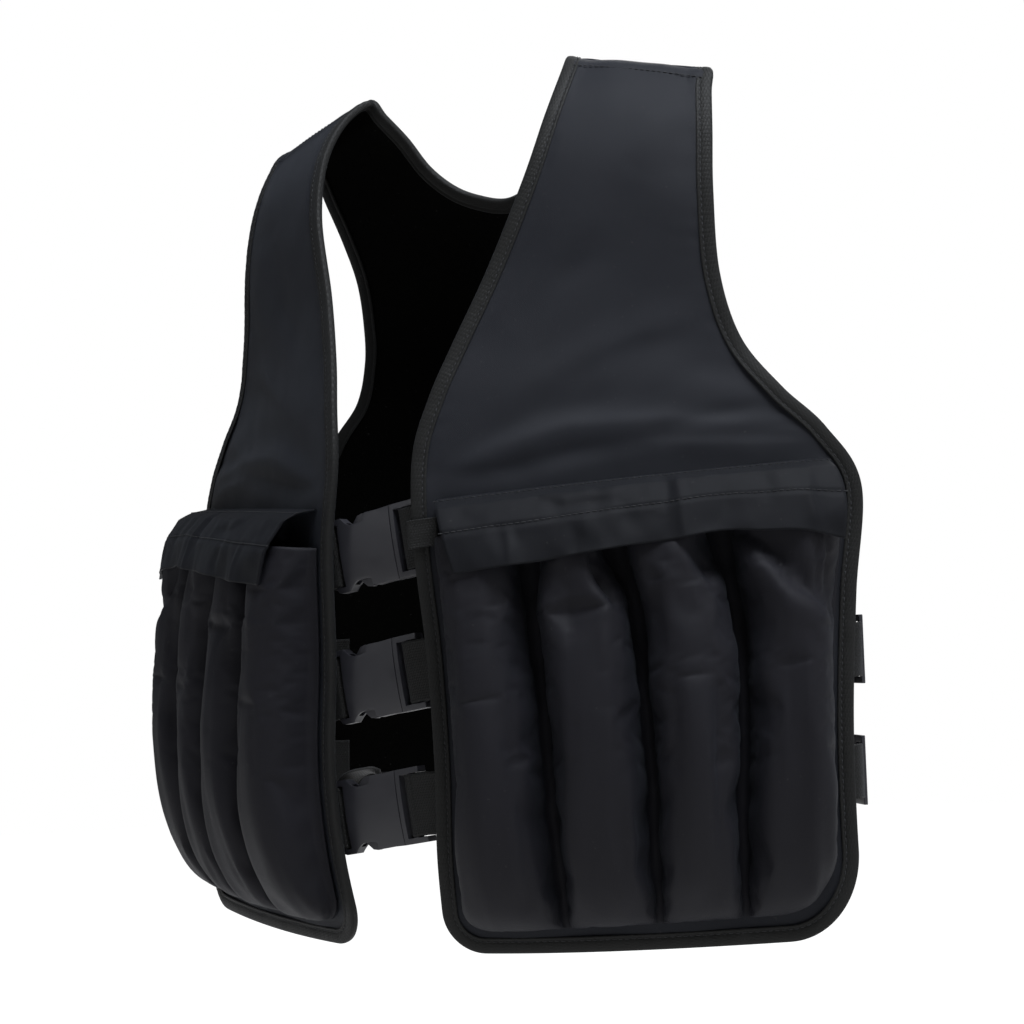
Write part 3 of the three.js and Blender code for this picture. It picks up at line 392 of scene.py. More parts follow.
def sheet_uv(grid):
    """Metres across and along a grid, from its middle column and row, once for each layer."""
    across = np.concatenate([np.zeros((grid.shape[0], 1)),
                             np.cumsum(np.linalg.norm(np.diff(grid, axis=1), axis=-1), 1)], 1)
    across -= across[:, across.shape[1] // 2][:, None]
    along = arc_length(grid[:, grid.shape[1] // 2])
    along = along - along[len(along) // 2]
    uv = np.stack([across, np.broadcast_to(along[:, None], across.shape)], -1)
    return np.concatenate([uv.reshape(-1, 2)] * 2)


def piece(name, points, faces, materials, stands_for=(), sides=None, uv=None):
    """A new mesh that rides on the vest, in one or more materials."""
    mesh = bpy.data.meshes.new(name)
    faces = faces.tolist() if isinstance(faces, np.ndarray) else faces
    mesh.from_pydata(np.asarray(points).tolist(), [], faces)
    for material in materials:
        mesh.materials.append(material)
    if sides is not None:
        mesh.polygons.foreach_set("material_index", np.asarray(sides, np.int32))
    if uv is not None:
        corners = np.empty(len(mesh.loops), np.int32)
        mesh.loops.foreach_get("vertex_index", corners)
        layer = mesh.uv_layers.new(name="cloth")
        layer.uv.foreach_set("vector", np.asarray(uv, np.float32)[corners].ravel())
    mesh.polygons.foreach_set("use_smooth", [True] * len(mesh.polygons))
    mesh.validate()
    thing = linked(name, mesh)
    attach(thing, "root")
    if stands_for:
        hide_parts(*stands_for)
    return thing


def mirrored(points, faces):
    """The same mesh for the other side of the vest."""
    turned = faces[:, ::-1] if isinstance(faces, np.ndarray) else [f[::-1] for f in faces]
    return points * (-1, 1, 1), turned


def sewn_sheet(name, outer, inner, finish, side):
    """A closed and lined sheet for one side of the vest, in place of the solid of its name."""
    points, faces, sides = shell(outer, inner)
    if side == "right":
        points, faces = mirrored(points, faces)
    materials = [finish, LINING_AND_SHADE_FINISH]
    return piece(f"{name}_cloth", points, faces, materials, [name], sides, sheet_uv(outer))


# %% [markdown]
# ## Finishes
#
# All the cloth on the vest is black, so what tells the pieces apart is their weave, their sheen and
# the dust in their folds, and darker copies of the black on the pocket and flap, which paint in
# shade, and on the lining, which is black with painted shade. A plain weave is the same drawing at
# every scale: fine on the panels and coarse on the webbing. It is made once, as a node group, and
# each material sets its yarn size.


# %% Node groups
def node_group(name, inputs, outputs):
    """The drawing of a new group, the sockets given to it and the node of its results."""
    tree = bpy.data.node_groups.new(name, "ShaderNodeTree")
    for label, kind, value in inputs:
        socket = tree.interface.new_socket(label, in_out="INPUT", socket_type=kind)
        if value is not None:
            socket.default_value = value
    for label, kind in outputs:
        tree.interface.new_socket(label, in_out="OUTPUT", socket_type=kind)
    draw = Drawing(tree)
    return draw, draw.node("NodeGroupInput").outputs, draw.node("NodeGroupOutput")


# %% The plain weave
draw, given, result = node_group(
    "plain_weave",
    [("Place", "NodeSocketVector", None), ("Yarn", "NodeSocketFloat", 0.0005),
     ("Stretch", "NodeSocketFloat", 1.0)],
    [("Height", "NodeSocketFloat"), ("Slub", "NodeSocketFloat")])
parts = draw.node("ShaderNodeSeparateXYZ", {0: given["Place"]}).outputs
weft = draw.math("DIVIDE", parts["X"], given["Yarn"])
warp = draw.math("DIVIDE", draw.math("DIVIDE", parts["Y"], given["Yarn"]), given["Stretch"])
over = draw.math("MODULO", draw.math("ABSOLUTE", draw.math(
    "ADD", draw.math("FLOOR", weft), draw.math("FLOOR", warp))), 2.0)
ridge = [draw.math("ABSOLUTE", draw.math("SINE", draw.math("MULTIPLY", v, math.pi)))
         for v in (weft, warp)]
height = draw.node("ShaderNodeMix", {0: over, 2: ridge[0], 3: ridge[1]}).outputs[0]
draw.fill(result, {"Height": height, "Slub": draw.noise(given["Place"], 900.0, 2.0)})
WEAVE = draw.tree
print("weave sockets:", [s.name for s in WEAVE.interface.items_tree])

# %% The wear of cloth
PATCHES, LINT, LINT_TONE = 0.3, 0.2, (0.09, 0.09, 0.085, 1)
draw, given, result = node_group(
    "cloth_wear",
    [("Color", "NodeSocketColor", (0.02, 0.02, 0.02, 1)), ("Patches", "NodeSocketFloat", 0.2),
     ("Lint", "NodeSocketFloat", 0.3)],
    [("Color", "NodeSocketColor"), ("Roughness", "NodeSocketFloat")])
where = draw.node("ShaderNodeTexCoord").outputs["Object"]
cloud, speck = draw.noise(where, 9.0, 4.0), draw.noise(where, 420.0, 1.0)
patch = draw.math("MULTIPLY", given["Patches"], draw.math("SUBTRACT", cloud, 0.5))
shaded = draw.node("ShaderNodeVectorMath", {0: given["Color"], "Scale": draw.math("ADD", 1.0, patch)},
                   operation="SCALE")
lint = draw.node("ShaderNodeMapRange", {"Value": speck, "From Min": 0.74, "From Max": 0.8}).outputs[0]
dusty = draw.node("ShaderNodeMix", {0: draw.math("MULTIPLY", lint, given["Lint"]),
                                    6: shaded.outputs[0], 7: LINT_TONE}, data_type="RGBA")
draw.fill(result, {"Color": dusty.outputs[2],
                   "Roughness": draw.math("MULTIPLY_ADD", cloud, 0.25, 0.45)})
WEAR = draw.tree
print("wear sockets:", [s.name for s in WEAR.interface.items_tree])


# %% Cloth, tape and webbing
def cloth(name, color, yarn=0.0006, relief=0.00012, stretch=1.0, sheen=0.0, gloss=0.2):
    """A woven finish. The width and the height of a yarn, yarn and relief, are in metres."""
    material, draw, shader = new_material(name)
    place_on = draw.node("ShaderNodeUVMap", uv_map="cloth").outputs[0]
    weave = draw.node("ShaderNodeGroup", {"Place": place_on, "Yarn": yarn, "Stretch": stretch},
                      node_tree=WEAVE).outputs
    wear = draw.node("ShaderNodeGroup", {"Color": (*color, 1), "Patches": PATCHES, "Lint": LINT},
                     node_tree=WEAR).outputs
    height = draw.math("ADD", weave["Height"], weave["Slub"])
    bump = draw.node("ShaderNodeBump", {"Height": height, "Distance": relief, "Strength": 0.6})
    draw.fill(shader, {"Base Color": wear["Color"], "Roughness": wear["Roughness"],
                       "Normal": bump.outputs[0], "Specular IOR Level": gloss,
                       "Sheen Weight": sheen, "Sheen Roughness": 0.45,
                       "Sheen Tint": (0.78, 0.86, 1.0, 1)})
    return material


PANEL_FINISH = cloth("black_oxford_cloth", (0.0118, 0.013, 0.0178), sheen=0.05)
# The pocket cloth is the same black, made darker than the panel's to paint in shade on the cells.
SHADED_POCKET_FINISH = cloth("black_pocket_cloth_painted_shade", (0.0090, 0.0087, 0.0124), sheen=0.03, gloss=0.21)
# The flap cloth is the same black, made darker still to paint shade over its upward face, which the
# key lamp lights.
SHADED_FLAP_FINISH = cloth("black_flap_cloth_painted_shade", (0.0079, 0.0084, 0.0108), sheen=0.03, gloss=0.14)
# The lining is black, and its colour is made darker still than the cloth to paint in the shade inside
# the vest.
LINING_AND_SHADE_FINISH = cloth("black_mesh_lining_painted_shade", (0.0025, 0.0025, 0.0022), 0.0011, 0.0002, gloss=0.02)
TAPE_FINISH = cloth("ribbed_edge_tape", (0.0145, 0.0145, 0.014), 0.0009, 0.0002, 3.0, 0.03)
WEBBING_FINISH = cloth("coarse_webbing", (0.016, 0.016, 0.0155), 0.0016, 0.0004, 0.6, 0.04)
WORN_FINISH = cloth("worn_grey_webbing", (0.09, 0.09, 0.09), 0.0016, 0.0004, 0.6, 0.1)
THREAD_FINISH = cloth("black_thread", (0.034, 0.034, 0.036), 0.0004, 0.0001, sheen=0.1)
print("cloth finishes:", [m.name for m in bpy.data.materials if m.use_nodes])


# %% Moulded plastic
def moulded(name, color):
    """Satin plastic with a fine spark-eroded grain and small scuffs."""
    material, draw, shader = new_material(name)
    where = draw.node("ShaderNodeTexCoord").outputs["Object"]
    grain, scuff = draw.noise(where, 2600.0, 2.0), draw.noise(where, 60.0, 5.0)
    bump = draw.node("ShaderNodeBump", {"Height": grain, "Distance": 0.00005, "Strength": 0.35})
    rough = draw.node("ShaderNodeMapRange", {"Value": scuff, "From Min": 0.35, "From Max": 0.7,
                                             "To Min": 0.3, "To Max": 0.46})
    dark, light = ((*(share * v for v in color), 1) for share in (0.8, 1.2))
    tone = draw.node("ShaderNodeMix", {0: scuff, 6: dark, 7: light}, data_type="RGBA")
    draw.fill(shader, {"Normal": bump.outputs[0], "Roughness": rough.outputs[0],
                       "Base Color": tone.outputs[2], "Specular IOR Level": 0.5})
    return material


PLASTIC_FINISH = moulded("satin_black_plastic", (0.030, 0.030, 0.036))
print("plastic:", PLASTIC_FINISH.name)

# %% [markdown]
# ## Folds and ripples
#
# A crease in cloth has a steep side and a soft side and fades at both ends. It could be sculpted
# by hand, but a short table of folds, each with its path, depth and two widths, can be read and
# changed. A smooth random field from a fixed seed adds the small unevenness of sewn cloth.


# %% A table of folds
def folds(s, h, table):
    """The lift of a table of folds at places s across and h above the hem, all in mm."""
    lift = np.zeros(np.broadcast(s, h).shape)
    for path, depth, left_width, right_width in table:
        path = np.array(path, float)
        run = arc_length(path)
        nearest, sign, share = np.full(lift.shape, 1e9), np.zeros(lift.shape), np.zeros(lift.shape)
        for k, (start, end) in enumerate(zip(path[:-1], path[1:])):
            step = end - start
            t = np.clip(((s - start[0]) * step[0] + (h - start[1]) * step[1]) / (step @ step), 0, 1)
            away = np.hypot(s - start[0] - t * step[0], h - start[1] - t * step[1])
            closer = away < nearest
            nearest = np.where(closer, away, nearest)
            sign = np.where(closer, (s - start[0]) * step[1] - (h - start[1]) * step[0], sign)
            share = np.where(closer, (run[k] + t * (run[k + 1] - run[k])) / run[-1], share)
        spread = np.where(sign > 0, right_width, left_width)
        fade = np.sqrt(np.sin(math.pi * np.clip(share, 0.02, 0.98)))
        lift += depth * fade * np.exp(-(nearest / spread) ** 2)
    return lift * MM


def ripple(x, y, seed):
    """Smooth random values from -1 to 1, one bump for each unit of x and y."""
    field = np.random.default_rng(seed).uniform(-1, 1, (64, 64))
    x, y = np.broadcast_arrays(np.asarray(x, float), np.asarray(y, float))
    i, j = np.floor(x).astype(int), np.floor(y).astype(int)
    u, v = ((t - np.floor(t)) for t in (x, y))
    u, v = (t * t * (3 - 2 * t) for t in (u, v))
    corner = lambda a, b: field[(i + a) % 64, (j + b) % 64]
    return ((corner(0, 0) * (1 - u) + corner(1, 0) * u) * (1 - v)
            + (corner(0, 1) * (1 - u) + corner(1, 1) * u) * v)


print("ripple spans", round(float(ripple(np.arange(9), 0.5, 1).min()), 2), "to 1")

# %% [markdown]
# ## The panels
#
# A panel is two layers of cloth over thin foam, 2.5 mm thick. The grid follows the sections, and
# its first and last columns draw in at the hem for the round corners. The outside has the chest
# creases of the photograph and small puckers beside the tape; the inside is the black lining,
# coloured darker than the cloth to paint in the shade inside the vest.

# %% Creases of the front
CHEST_FOLDS = [
    ([(12, 276), (50, 296), (92, 308), (150, 309), (212, 300)], 2.6, 8, 16),
    ([(14, 284), (46, 282), (96, 290), (150, 294)], -1.8, 6, 8),
    ([(20, 292), (70, 322), (130, 330)], -1.6, 14, 10),
    ([(60, 284), (140, 292), (235, 283)], 1.4, 6, 12),
    ([(150, 306), (200, 318), (232, 312)], -1.3, 8, 8),
    ([(70, 345), (110, 372), (140, 380)], 1.4, 14, 9),
    ([(150, 350), (185, 342), (215, 322)], -1.2, 12, 9),
    ([(30, 372), (60, 420), (70, 470)], -1.2, 14, 14),
    ([(95, 400), (100, 440), (92, 480)], 1.0, 16, 12),
    ([(60, 480), (80, 520), (86, 545)], 1.0, 12, 12),
]
TAPE_WIDTH = 9 * MM
SHOULDER_SEAM, SEAM_HALF = 549, 4  # mm above the hem, and mm to each side


def panel_relief(s, h, span, seed):
    """The lift of a panel's outside in metres: folds, ripples, and puckers beside the tape."""
    loose = 0.9 * MM * ripple(s / 46, h / 60, seed) + 0.35 * MM * ripple(s / 17, h / 23, seed + 1)
    edge = np.minimum(s, span - s) - TAPE_WIDTH / MM
    pucker = 0.3 * MM * ripple(h / 7, s / 30, seed + 2) * np.exp(-np.maximum(edge, 0) / 7)
    return np.where(edge < 0, 0, np.clip(edge / 6, 0, 1)) * loose + np.clip(edge / 2, 0, 1) * pucker


# %% Grids of the panels
def front_lines(columns=88, rows=200):
    """Across and row for a grid over the left front, and the same places in mm."""
    low = SIDE_CORNER * (1 - np.cos(np.linspace(0, math.pi / 2, 20)))
    height = np.concatenate([low, np.linspace(SIDE_CORNER, FRONT_LENGTH, rows)[1:]])
    row = front_row(height)
    span = width(row)
    start = corner_inset(height, FRONT_CORNER) / span
    end = 1 - corner_inset(height, SIDE_CORNER) / span
    across = start[:, None] + (end - start)[:, None] * np.linspace(0, 1, columns)
    row, height, span = (np.broadcast_to(v[:, None], across.shape) for v in (row, height, span))
    return across, row, across * span / MM, height / MM, span / MM


def back_lines(columns=64, neck_rows=90, rows=100):
    """The same for the left half of the back, from the shoulder seam to the hem."""
    bend = np.linspace(RIDGE, BACK_HEM, 4001)
    height = BACK_LENGTH + outer_edge(bend)[:, 2]
    low = np.interp(-BACK_CORNER * (1 - np.cos(np.linspace(math.pi / 2, 0, 16))), -height, bend)
    neck, middle = np.linspace(RIDGE, NECK_ROW, neck_rows), np.linspace(NECK_ROW, low[0], rows)
    row = np.concatenate([neck, middle[1:], low[1:]])
    span = width(row)
    end = 1 - corner_inset(BACK_LENGTH + outer_edge(row)[:, 2], BACK_CORNER) / span
    across = end[:, None] * np.linspace(0, 1, columns)
    row, span = (np.broadcast_to(v[:, None], across.shape) for v in (row, span))
    return across, row, across * span / MM, (row - RIDGE) * 40, span / MM


across, row, s, h, span = front_lines()
for side, seed in (("left", 3), ("right", 11)):
    seam = 1.0 * MM * np.exp(-((h - SHOULDER_SEAM) / SEAM_HALF) ** 2)
    lift = panel_relief(s, h, span, seed) + folds(s, h, CHEST_FOLDS) + seam
    outer = place(across, row, lift)[0]
    inner = place(across, row, -PANEL_CLOTH - 0.2 * MM * ripple(s / 30, h / 30, seed + 4))[0]
    panel = sewn_sheet(f"front_panel_{side}", outer, inner, PANEL_FINISH, side)
print("front panel:", len(panel.data.vertices), "points")

# %% The back panel
def eased(grid, row, rounds=70):
    """The grid relaxed along its columns where the rows turn from the neckline to the middle."""
    near = np.exp(-((row[1:-1, 1:-1] - NECK_ROW) / 0.8) ** 2)[..., None] / 2
    for _ in range(rounds):
        grid[1:-1, 1:-1] += near * ((grid[2:, 1:-1] + grid[:-2, 1:-1]) / 2 - grid[1:-1, 1:-1])
    return grid


across, row, s, h, span = back_lines()
lift = panel_relief(s, h, 2 * span, 21)
outer = eased(place(across, row, lift)[0], row)
inner = eased(place(across, row, -PANEL_CLOTH)[0], row)
joined = row[:, 0] >= NECK_ROW - 1e-9
for grid in (outer, inner):
    grid[joined, 0, 0] = 0
points, faces, sides = shell(outer, inner, open_from=int(np.argmax(joined)))
uv = sheet_uv(outer)
other, other_faces = mirrored(points, faces)
points, uv = np.concatenate([points, other]), np.concatenate([uv, uv * (-1, 1)])
faces = np.concatenate([faces, other_faces + len(other)])
back_piece = piece("back_panel_cloth", points, faces, [PANEL_FINISH, LINING_AND_SHADE_FINISH],
                   ["back_panel"], np.concatenate([sides, sides]), uv)
weld = bmesh.new()
weld.from_mesh(back_piece.data)
bmesh.ops.remove_doubles(weld, verts=weld.verts, dist=1e-6)
weld.to_mesh(back_piece.data)
weld.free()
print("back panel:", len(back_piece.data.vertices), "points")

# %% [markdown]
# ## Tape and thread
#
# A ribbed tape is folded over each cut edge and sewn through. It is a sweep of one closed profile
# along the edge: flat at its hem, sunk at the seam, full at the fold. A curve with a bevel would
# twist at the corners, so each ring is set square to the edge and to the cloth. The thread is
# short round stitches that dip into the tape at both ends.


# %% Sweeps along a path
def points_at(line, run, at):
    """The points of a polyline at distances along it."""
    return np.stack([np.interp(at, run, line[:, k]) for k in range(3)], 1)


def resample(points, normals, spacing):
    """A line's points and normals at even distances, and those distances."""
    run = arc_length(points)
    at = np.linspace(0, run[-1], max(2, round(run[-1] / spacing)) + 1)
    return points_at(points, run, at), unit(points_at(normals, run, at)), at


TAPE_FACE = [(-8.8, 0.3), (-8.9, 0.7), (-8.5, 1.0), (-7.7, 1.1), (-7.0, 0.9), (-6.5, 0.65),
             (-6.0, 0.9), (-5.0, 1.25), (-3.2, 1.45), (-1.2, 1.35), (0.2, 1.05), (0.9, 0.4),
             (1.1, -0.6)]
TAPE_PROFILE = np.array(TAPE_FACE + [(a, -2.5 - u) for a, u in TAPE_FACE[::-1]]
                        + [(0.3, -2.8), (0.3, 0.3)]) * MM
TAPE_SEAM, SEAM_LIFT, TAPE_TURN, TAPE_RIB = (v * MM for v in (6.5, 0.72, 14, 3.6))
TAPE_SPACING, SWELL_LENGTH = 2.2 * MM, 9 * MM
RIDGE_LINE = unit(outer_edge(RIDGE) - inner_edge(RIDGE))
thread_runs = []


def tape(name, points, normals, ends, stands_for, flip=False, seed=5):
    """Tape folded over an edge, and its thread. At its two ends the tape is turned to ends."""
    points, normals, at = resample(points, normals, TAPE_SPACING)
    ahead = unit(np.gradient(points, axis=0))
    away = unit(np.cross(ahead, normals))
    for distance, end in zip((at, at[-1] - at), ends):
        near = np.clip(1 - distance / TAPE_TURN, 0, 1)[:, None]
        away = unit(away * (1 - near) + end * near)
    rib = np.sin(at / TAPE_RIB * 2 * math.pi)
    full = 1 + 0.16 * ripple(at / SWELL_LENGTH, 0.5, seed) + 0.08 * rib
    upward = TAPE_PROFILE[None, :, 1] * np.where(TAPE_PROFILE[:, 1] > 0.4 * MM, full[:, None], 1)
    rings = (points[:, None] + away[:, None] * TAPE_PROFILE[None, :, :1]
             + normals[:, None] * upward[..., None])
    around = arc_length(TAPE_PROFILE)
    uv = np.stack(np.broadcast_arrays(around[None], at[:, None]), -1).reshape(-1, 2)
    sewn = points - away * TAPE_SEAM + normals * SEAM_LIFT
    verts, faces = tube(rings)
    if flip:
        verts, faces = mirrored(verts, faces)
        sewn, normals = sewn * (-1, 1, 1), normals * (-1, 1, 1)
    thread_runs.append((sewn, normals))
    piece(name, verts, faces, [TAPE_FINISH], stands_for, uv=uv)


def edge_line(is_outer, rows, inset):
    """Points and normals along one edge of the left half."""
    share = inset / width(rows)
    return place(1 - share if is_outer else share, rows)


# %% Tape round the fronts
height = np.concatenate([SIDE_CORNER * (1 - np.cos(np.linspace(0, math.pi / 2, 24))),
                         np.linspace(SIDE_CORNER, FRONT_LENGTH, 260)[1:]])
rows = front_row(height)
inner_side = edge_line(False, rows, corner_inset(height, FRONT_CORNER))
outer_side = edge_line(True, rows, corner_inset(height, SIDE_CORNER))
hem_across = np.linspace(FRONT_CORNER / width(0.0), 1 - SIDE_CORNER / width(0.0), 60)[1:-1]
hem = place(hem_across, 0.0)
path = [np.concatenate([a[::-1], b, c]) for a, b, c in zip(inner_side, hem, outer_side)]
for side in ("left", "right"):
    tape(f"front_binding_{side}_tape", *path, (-RIDGE_LINE, RIDGE_LINE),
         [f"front_binding_{side}"], side == "right", 5 if side == "left" else 6)
print("tape round a front:", round(float(arc_length(path[0])[-1]), 3), "m")

# %% Tape round the back
rows = np.linspace(RIDGE, NECK_ROW, 120)
neck = edge_line(False, rows, 0.0)
both = [np.concatenate([a[:-1] * (-1, 1, 1), a[::-1]]) for a in neck]
tape("back_neck_tape", *both, (RIDGE_LINE * (1, -1, -1), -RIDGE_LINE), ["back_neck_binding"], seed=8)
rows = np.linspace(RIDGE, BACK_HEM, 420)
inset = corner_inset(BACK_LENGTH + outer_edge(rows)[:, 2], BACK_CORNER)
side_line = edge_line(True, rows, inset)
hem = place(np.linspace(1 - BACK_CORNER / width(float(BACK_HEM)), 0, 60)[1:], float(BACK_HEM))
half = [np.concatenate([a, b]) for a, b in zip(side_line, hem)]
both = [np.concatenate([a, a[-2::-1] * (-1, 1, 1)]) for a in half]
tape("back_edge_tape", *both, (RIDGE_LINE, RIDGE_LINE * (-1, 1, 1)), ["back_binding"], seed=9)
print("tape round the back:", round(float(arc_length(both[0])[-1]), 3), "m")

# %% [markdown]
# ## The weight pockets
#
# Each pocket is one sheet of cloth, sewn down at its sides, its toe and along three grooves, so
# that it stands out in four full tubes. The tubes are drawn from the CAD's own sizes, with the
# grooves moved to where the stitching runs in the photograph, and then the cloth is simulated with
# a little pressure from inside, held at its seams. Last the folds of a table are pressed into it.

# %% Sizes of a pocket
POCKET_BASE, POCKET_HEIGHT, POCKET_DEPTH, POCKET_TOE = (v * MM for v in (14, 231, 38, 80))
INNER_MARGIN, OUTER_MARGIN = 12.5 * MM, 11.5 * MM
# height above the hem, how far across the three grooves run, and half their width, in mm
GROOVES = np.array([
    (13, 75, 129, 180, 2.0),
    (45, 74, 130, 180, 2.5),
    (81, 70, 130, 181, 3.0),
    (117, 68, 127, 183, 3.5),
    (155, 68, 127, 185, 4.0),
    (190, 67, 126, 183, 4.8),
    (226, 70, 119, 180, 6.0),
])
POCKET_CLOTH, SEWN_GAP, EDGE_GAP = 1.8 * MM, 0.7 * MM, 2 * MM
POCKET_LAYER = 1.1  # mm from the outside to the lining
CELLS, FULLNESS = 4, 0.66
FULL_HEIGHTS = np.array([0, 0.56, 0.80, 0.90, 1.00])
FULL_LIFTS = np.array([1.00, 1.00, 0.96, 0.87, 0.70])


def roundish(value):
    return np.sign(value) * np.abs(value) ** FULLNESS


def pocket_lines(per_cell=34, toe_rows=26, rows=84):
    """For a grid over the left pocket: mm across, mm above the hem, row and share of the lift."""
    toe = np.linspace(0, math.pi / 2, toe_rows)
    upper = np.linspace(POCKET_TOE, POCKET_HEIGHT, rows)[1:]
    height = np.concatenate([POCKET_TOE * (1 - np.cos(toe)), upper])
    full = np.concatenate([np.sin(toe), np.interp(upper / POCKET_HEIGHT, FULL_HEIGHTS, FULL_LIFTS)])
    row = front_row(POCKET_BASE + height)
    start = INNER_MARGIN + corner_inset(height, FRONT_CORNER - POCKET_BASE / 2)
    end = width(row) - OUTER_MARGIN - corner_inset(height, SIDE_CORNER - POCKET_BASE / 2)
    above = (height + POCKET_BASE) / MM
    grooves = [(np.interp(above, GROOVES[:, 0], GROOVES[:, k]) + ripple(above / 24, k * 5.3, 61)) * MM
               for k in (1, 2, 3)]
    seams = [start, *grooves, end]
    gap = np.interp(above, GROOVES[:, 0], GROOVES[:, 4]) * MM
    gap = gap * (1 + 0.35 * ripple(above / 15, 0.5, 63))
    angle = np.linspace(0, math.pi, per_cell)
    along, lift = [start[:, None]], [np.zeros((len(row), 1))]
    for i in range(CELLS):
        left = seams[i] + np.where(i == 0, EDGE_GAP, gap)
        right = seams[i + 1] - np.where(i == CELLS - 1, EDGE_GAP, gap)
        middle, half = (left + right) / 2, (right - left) / 2
        along.append(middle[:, None] - half[:, None] * roundish(np.cos(angle)))
        lift.append(full[:, None] * roundish(np.maximum(0, np.sin(angle))))
    along.append(end[:, None])
    lift.append(np.zeros((len(row), 1)))
    along, lift = np.concatenate(along, 1), np.concatenate(lift, 1)
    row, height = (np.broadcast_to(v[:, None], along.shape) for v in (row, height + POCKET_BASE))
    return along / MM, height / MM, row, lift


# %% Folds of the two pockets, in mm across and above the hem
POCKET_FOLDS = {
    "left": [
        ([(107, 226), (110, 206), (119, 188)], -8.0, 4, 4),
        ([(114, 222), (117, 206), (122, 192)], 2.0, 3, 3),
        ([(172, 226), (172, 208), (170, 192)], -8.5, 5, 13),
        ([(148, 224), (158, 208), (168, 192)], 2.6, 4, 4),
        ([(150, 200), (152, 186), (160, 172)], -2.5, 4, 8),
        ([(190, 226), (203, 208), (214, 188), (238, 168)], -9.5, 15, 3.5),
        ([(188, 214), (200, 196), (212, 174), (232, 158)], 2.5, 5, 8),
        ([(230, 218), (231, 198), (233, 178)], -3.6, 3, 3),
        ([(239, 216), (240, 198), (240, 180)], -3.0, 2.5, 3),
        ([(84, 222), (90, 200), (88, 176)], -2.6, 6, 8),
        ([(30, 220), (34, 196), (30, 170)], -2.2, 7, 9),
        ([(36, 200), (38, 120), (34, 60)], 2.4, 9, 12),
        ([(56, 170), (54, 100), (60, 44)], -2.6, 6, 9),
        ([(94, 190), (98, 120), (92, 60)], 2.0, 7, 10),
        ([(112, 150), (110, 90), (112, 40)], -2.6, 5, 8),
        ([(152, 160), (156, 100), (152, 50)], 2.2, 8, 9),
        ([(172, 140), (168, 80), (166, 36)], -2.6, 6, 7),
        ([(206, 150), (212, 90), (206, 50)], -2.2, 6, 9),
        ([(228, 150), (230, 90), (224, 50)], 2.0, 8, 9),
    ],
    "right": [
        ([(60, 224), (70, 190), (84, 160)], -4.0, 6, 8),
        ([(150, 224), (146, 190), (150, 150)], -3.6, 6, 8),
        ([(200, 224), (214, 196), (232, 176)], -5.0, 10, 6),
        ([(92, 190), (96, 120), (92, 60)], 2.4, 8, 10),
        ([(36, 200), (38, 120), (34, 60)], -2.4, 9, 12),
        ([(156, 160), (160, 100), (158, 50)], -2.3, 8, 9),
        ([(224, 150), (226, 90), (222, 50)], 2.4, 9, 9),
    ],
}
SIM_STEPS, SIM_CAP, SEAM_SHARE = 14, 5 * MM, 0.04
SIM_SETTINGS = {
    "vertex_group_mass": "seams", "quality": 6, "mass": 0.25, "tension_stiffness": 12,
    "compression_stiffness": 12, "shear_stiffness": 4, "bending_stiffness": 0.6,
    "use_pressure": True, "uniform_pressure_force": 3.2, "shrink_min": -0.012,
}


def puffed(grid, held):
    """The grid after a short cloth simulation with pressure, held fixed where held is true."""
    rows, columns = grid.shape[:2]
    mesh = bpy.data.meshes.new("pocket_rest")
    mesh.from_pydata(grid.reshape(-1, 3).tolist(), [], grid_faces(rows, columns).tolist())
    sheet = linked("pocket_rest", mesh)
    pins = sheet.vertex_groups.new(name="seams")
    pins.add(np.flatnonzero(held.ravel()).tolist(), 1.0, "REPLACE")
    made = sheet.modifiers.new("cloth", "CLOTH")
    for key, value in SIM_SETTINGS.items():
        setattr(made.settings, key, value)
    made.settings.effector_weights.gravity = 0
    made.point_cache.frame_start, made.point_cache.frame_end = 1, SIM_STEPS
    for step in range(1, SIM_STEPS + 1):
        bpy.context.scene.frame_set(step)
    seen = sheet.evaluated_get(bpy.context.evaluated_depsgraph_get()).to_mesh()
    moved = np.empty(len(seen.vertices) * 3)
    seen.vertices.foreach_get("co", moved)
    bpy.data.objects.remove(sheet)
    bpy.context.scene.frame_set(1)
    shift = moved.reshape(grid.shape) - grid
    size = np.linalg.norm(shift, axis=-1, keepdims=True)
    return grid + shift * np.minimum(1, SIM_CAP / np.maximum(size, 1e-9))


# %% The pocket sheets
def grid_normals(grid):
    return unit(np.cross(np.gradient(grid, axis=1), np.gradient(grid, axis=0)))


s, h, row, share = pocket_lines()
across = s * MM / width(row)
rise = POCKET_DEPTH - POCKET_CLOTH - SEWN_GAP
for side, seed in (("left", 31), ("right", 37)):
    soft = 1.8 * MM * ripple(s / 12, h / 100, seed) + 0.9 * MM * ripple(s / 6, h / 60, seed + 1)
    gathers = 1.6 * MM * ripple(s / 8, h / 22, seed + 2) * np.exp(-((h - 28) / 16) ** 2)
    relief = (folds(s, h, POCKET_FOLDS[side]) + soft + gathers) * np.clip(share * 1.6, 0, 1) ** 1.5
    grid = place(across, row, SEWN_GAP + POCKET_CLOTH + rise * share)[0]
    held = share < SEAM_SHARE
    held[[0, -1]] = True
    grid = puffed(grid, held)
    grid = grid + grid_normals(grid) * relief[..., None]
    inside = grid - grid_normals(grid) * POCKET_LAYER * MM
    pocket = sewn_sheet(f"weight_pocket_{side}", grid, inside, SHADED_POCKET_FINISH, side)
print("pocket:", len(pocket.data.vertices), "points")

# %% [markdown]
# ## The pocket flaps
#
# The flap is a stiff strip, folded at its lower edge and sewn down along its top, and it stands
# out over the cell mouths like an awning. It is a grid again: down its width it follows the CAD's
# table, and along its length it rides up over each full cell and dips between them.

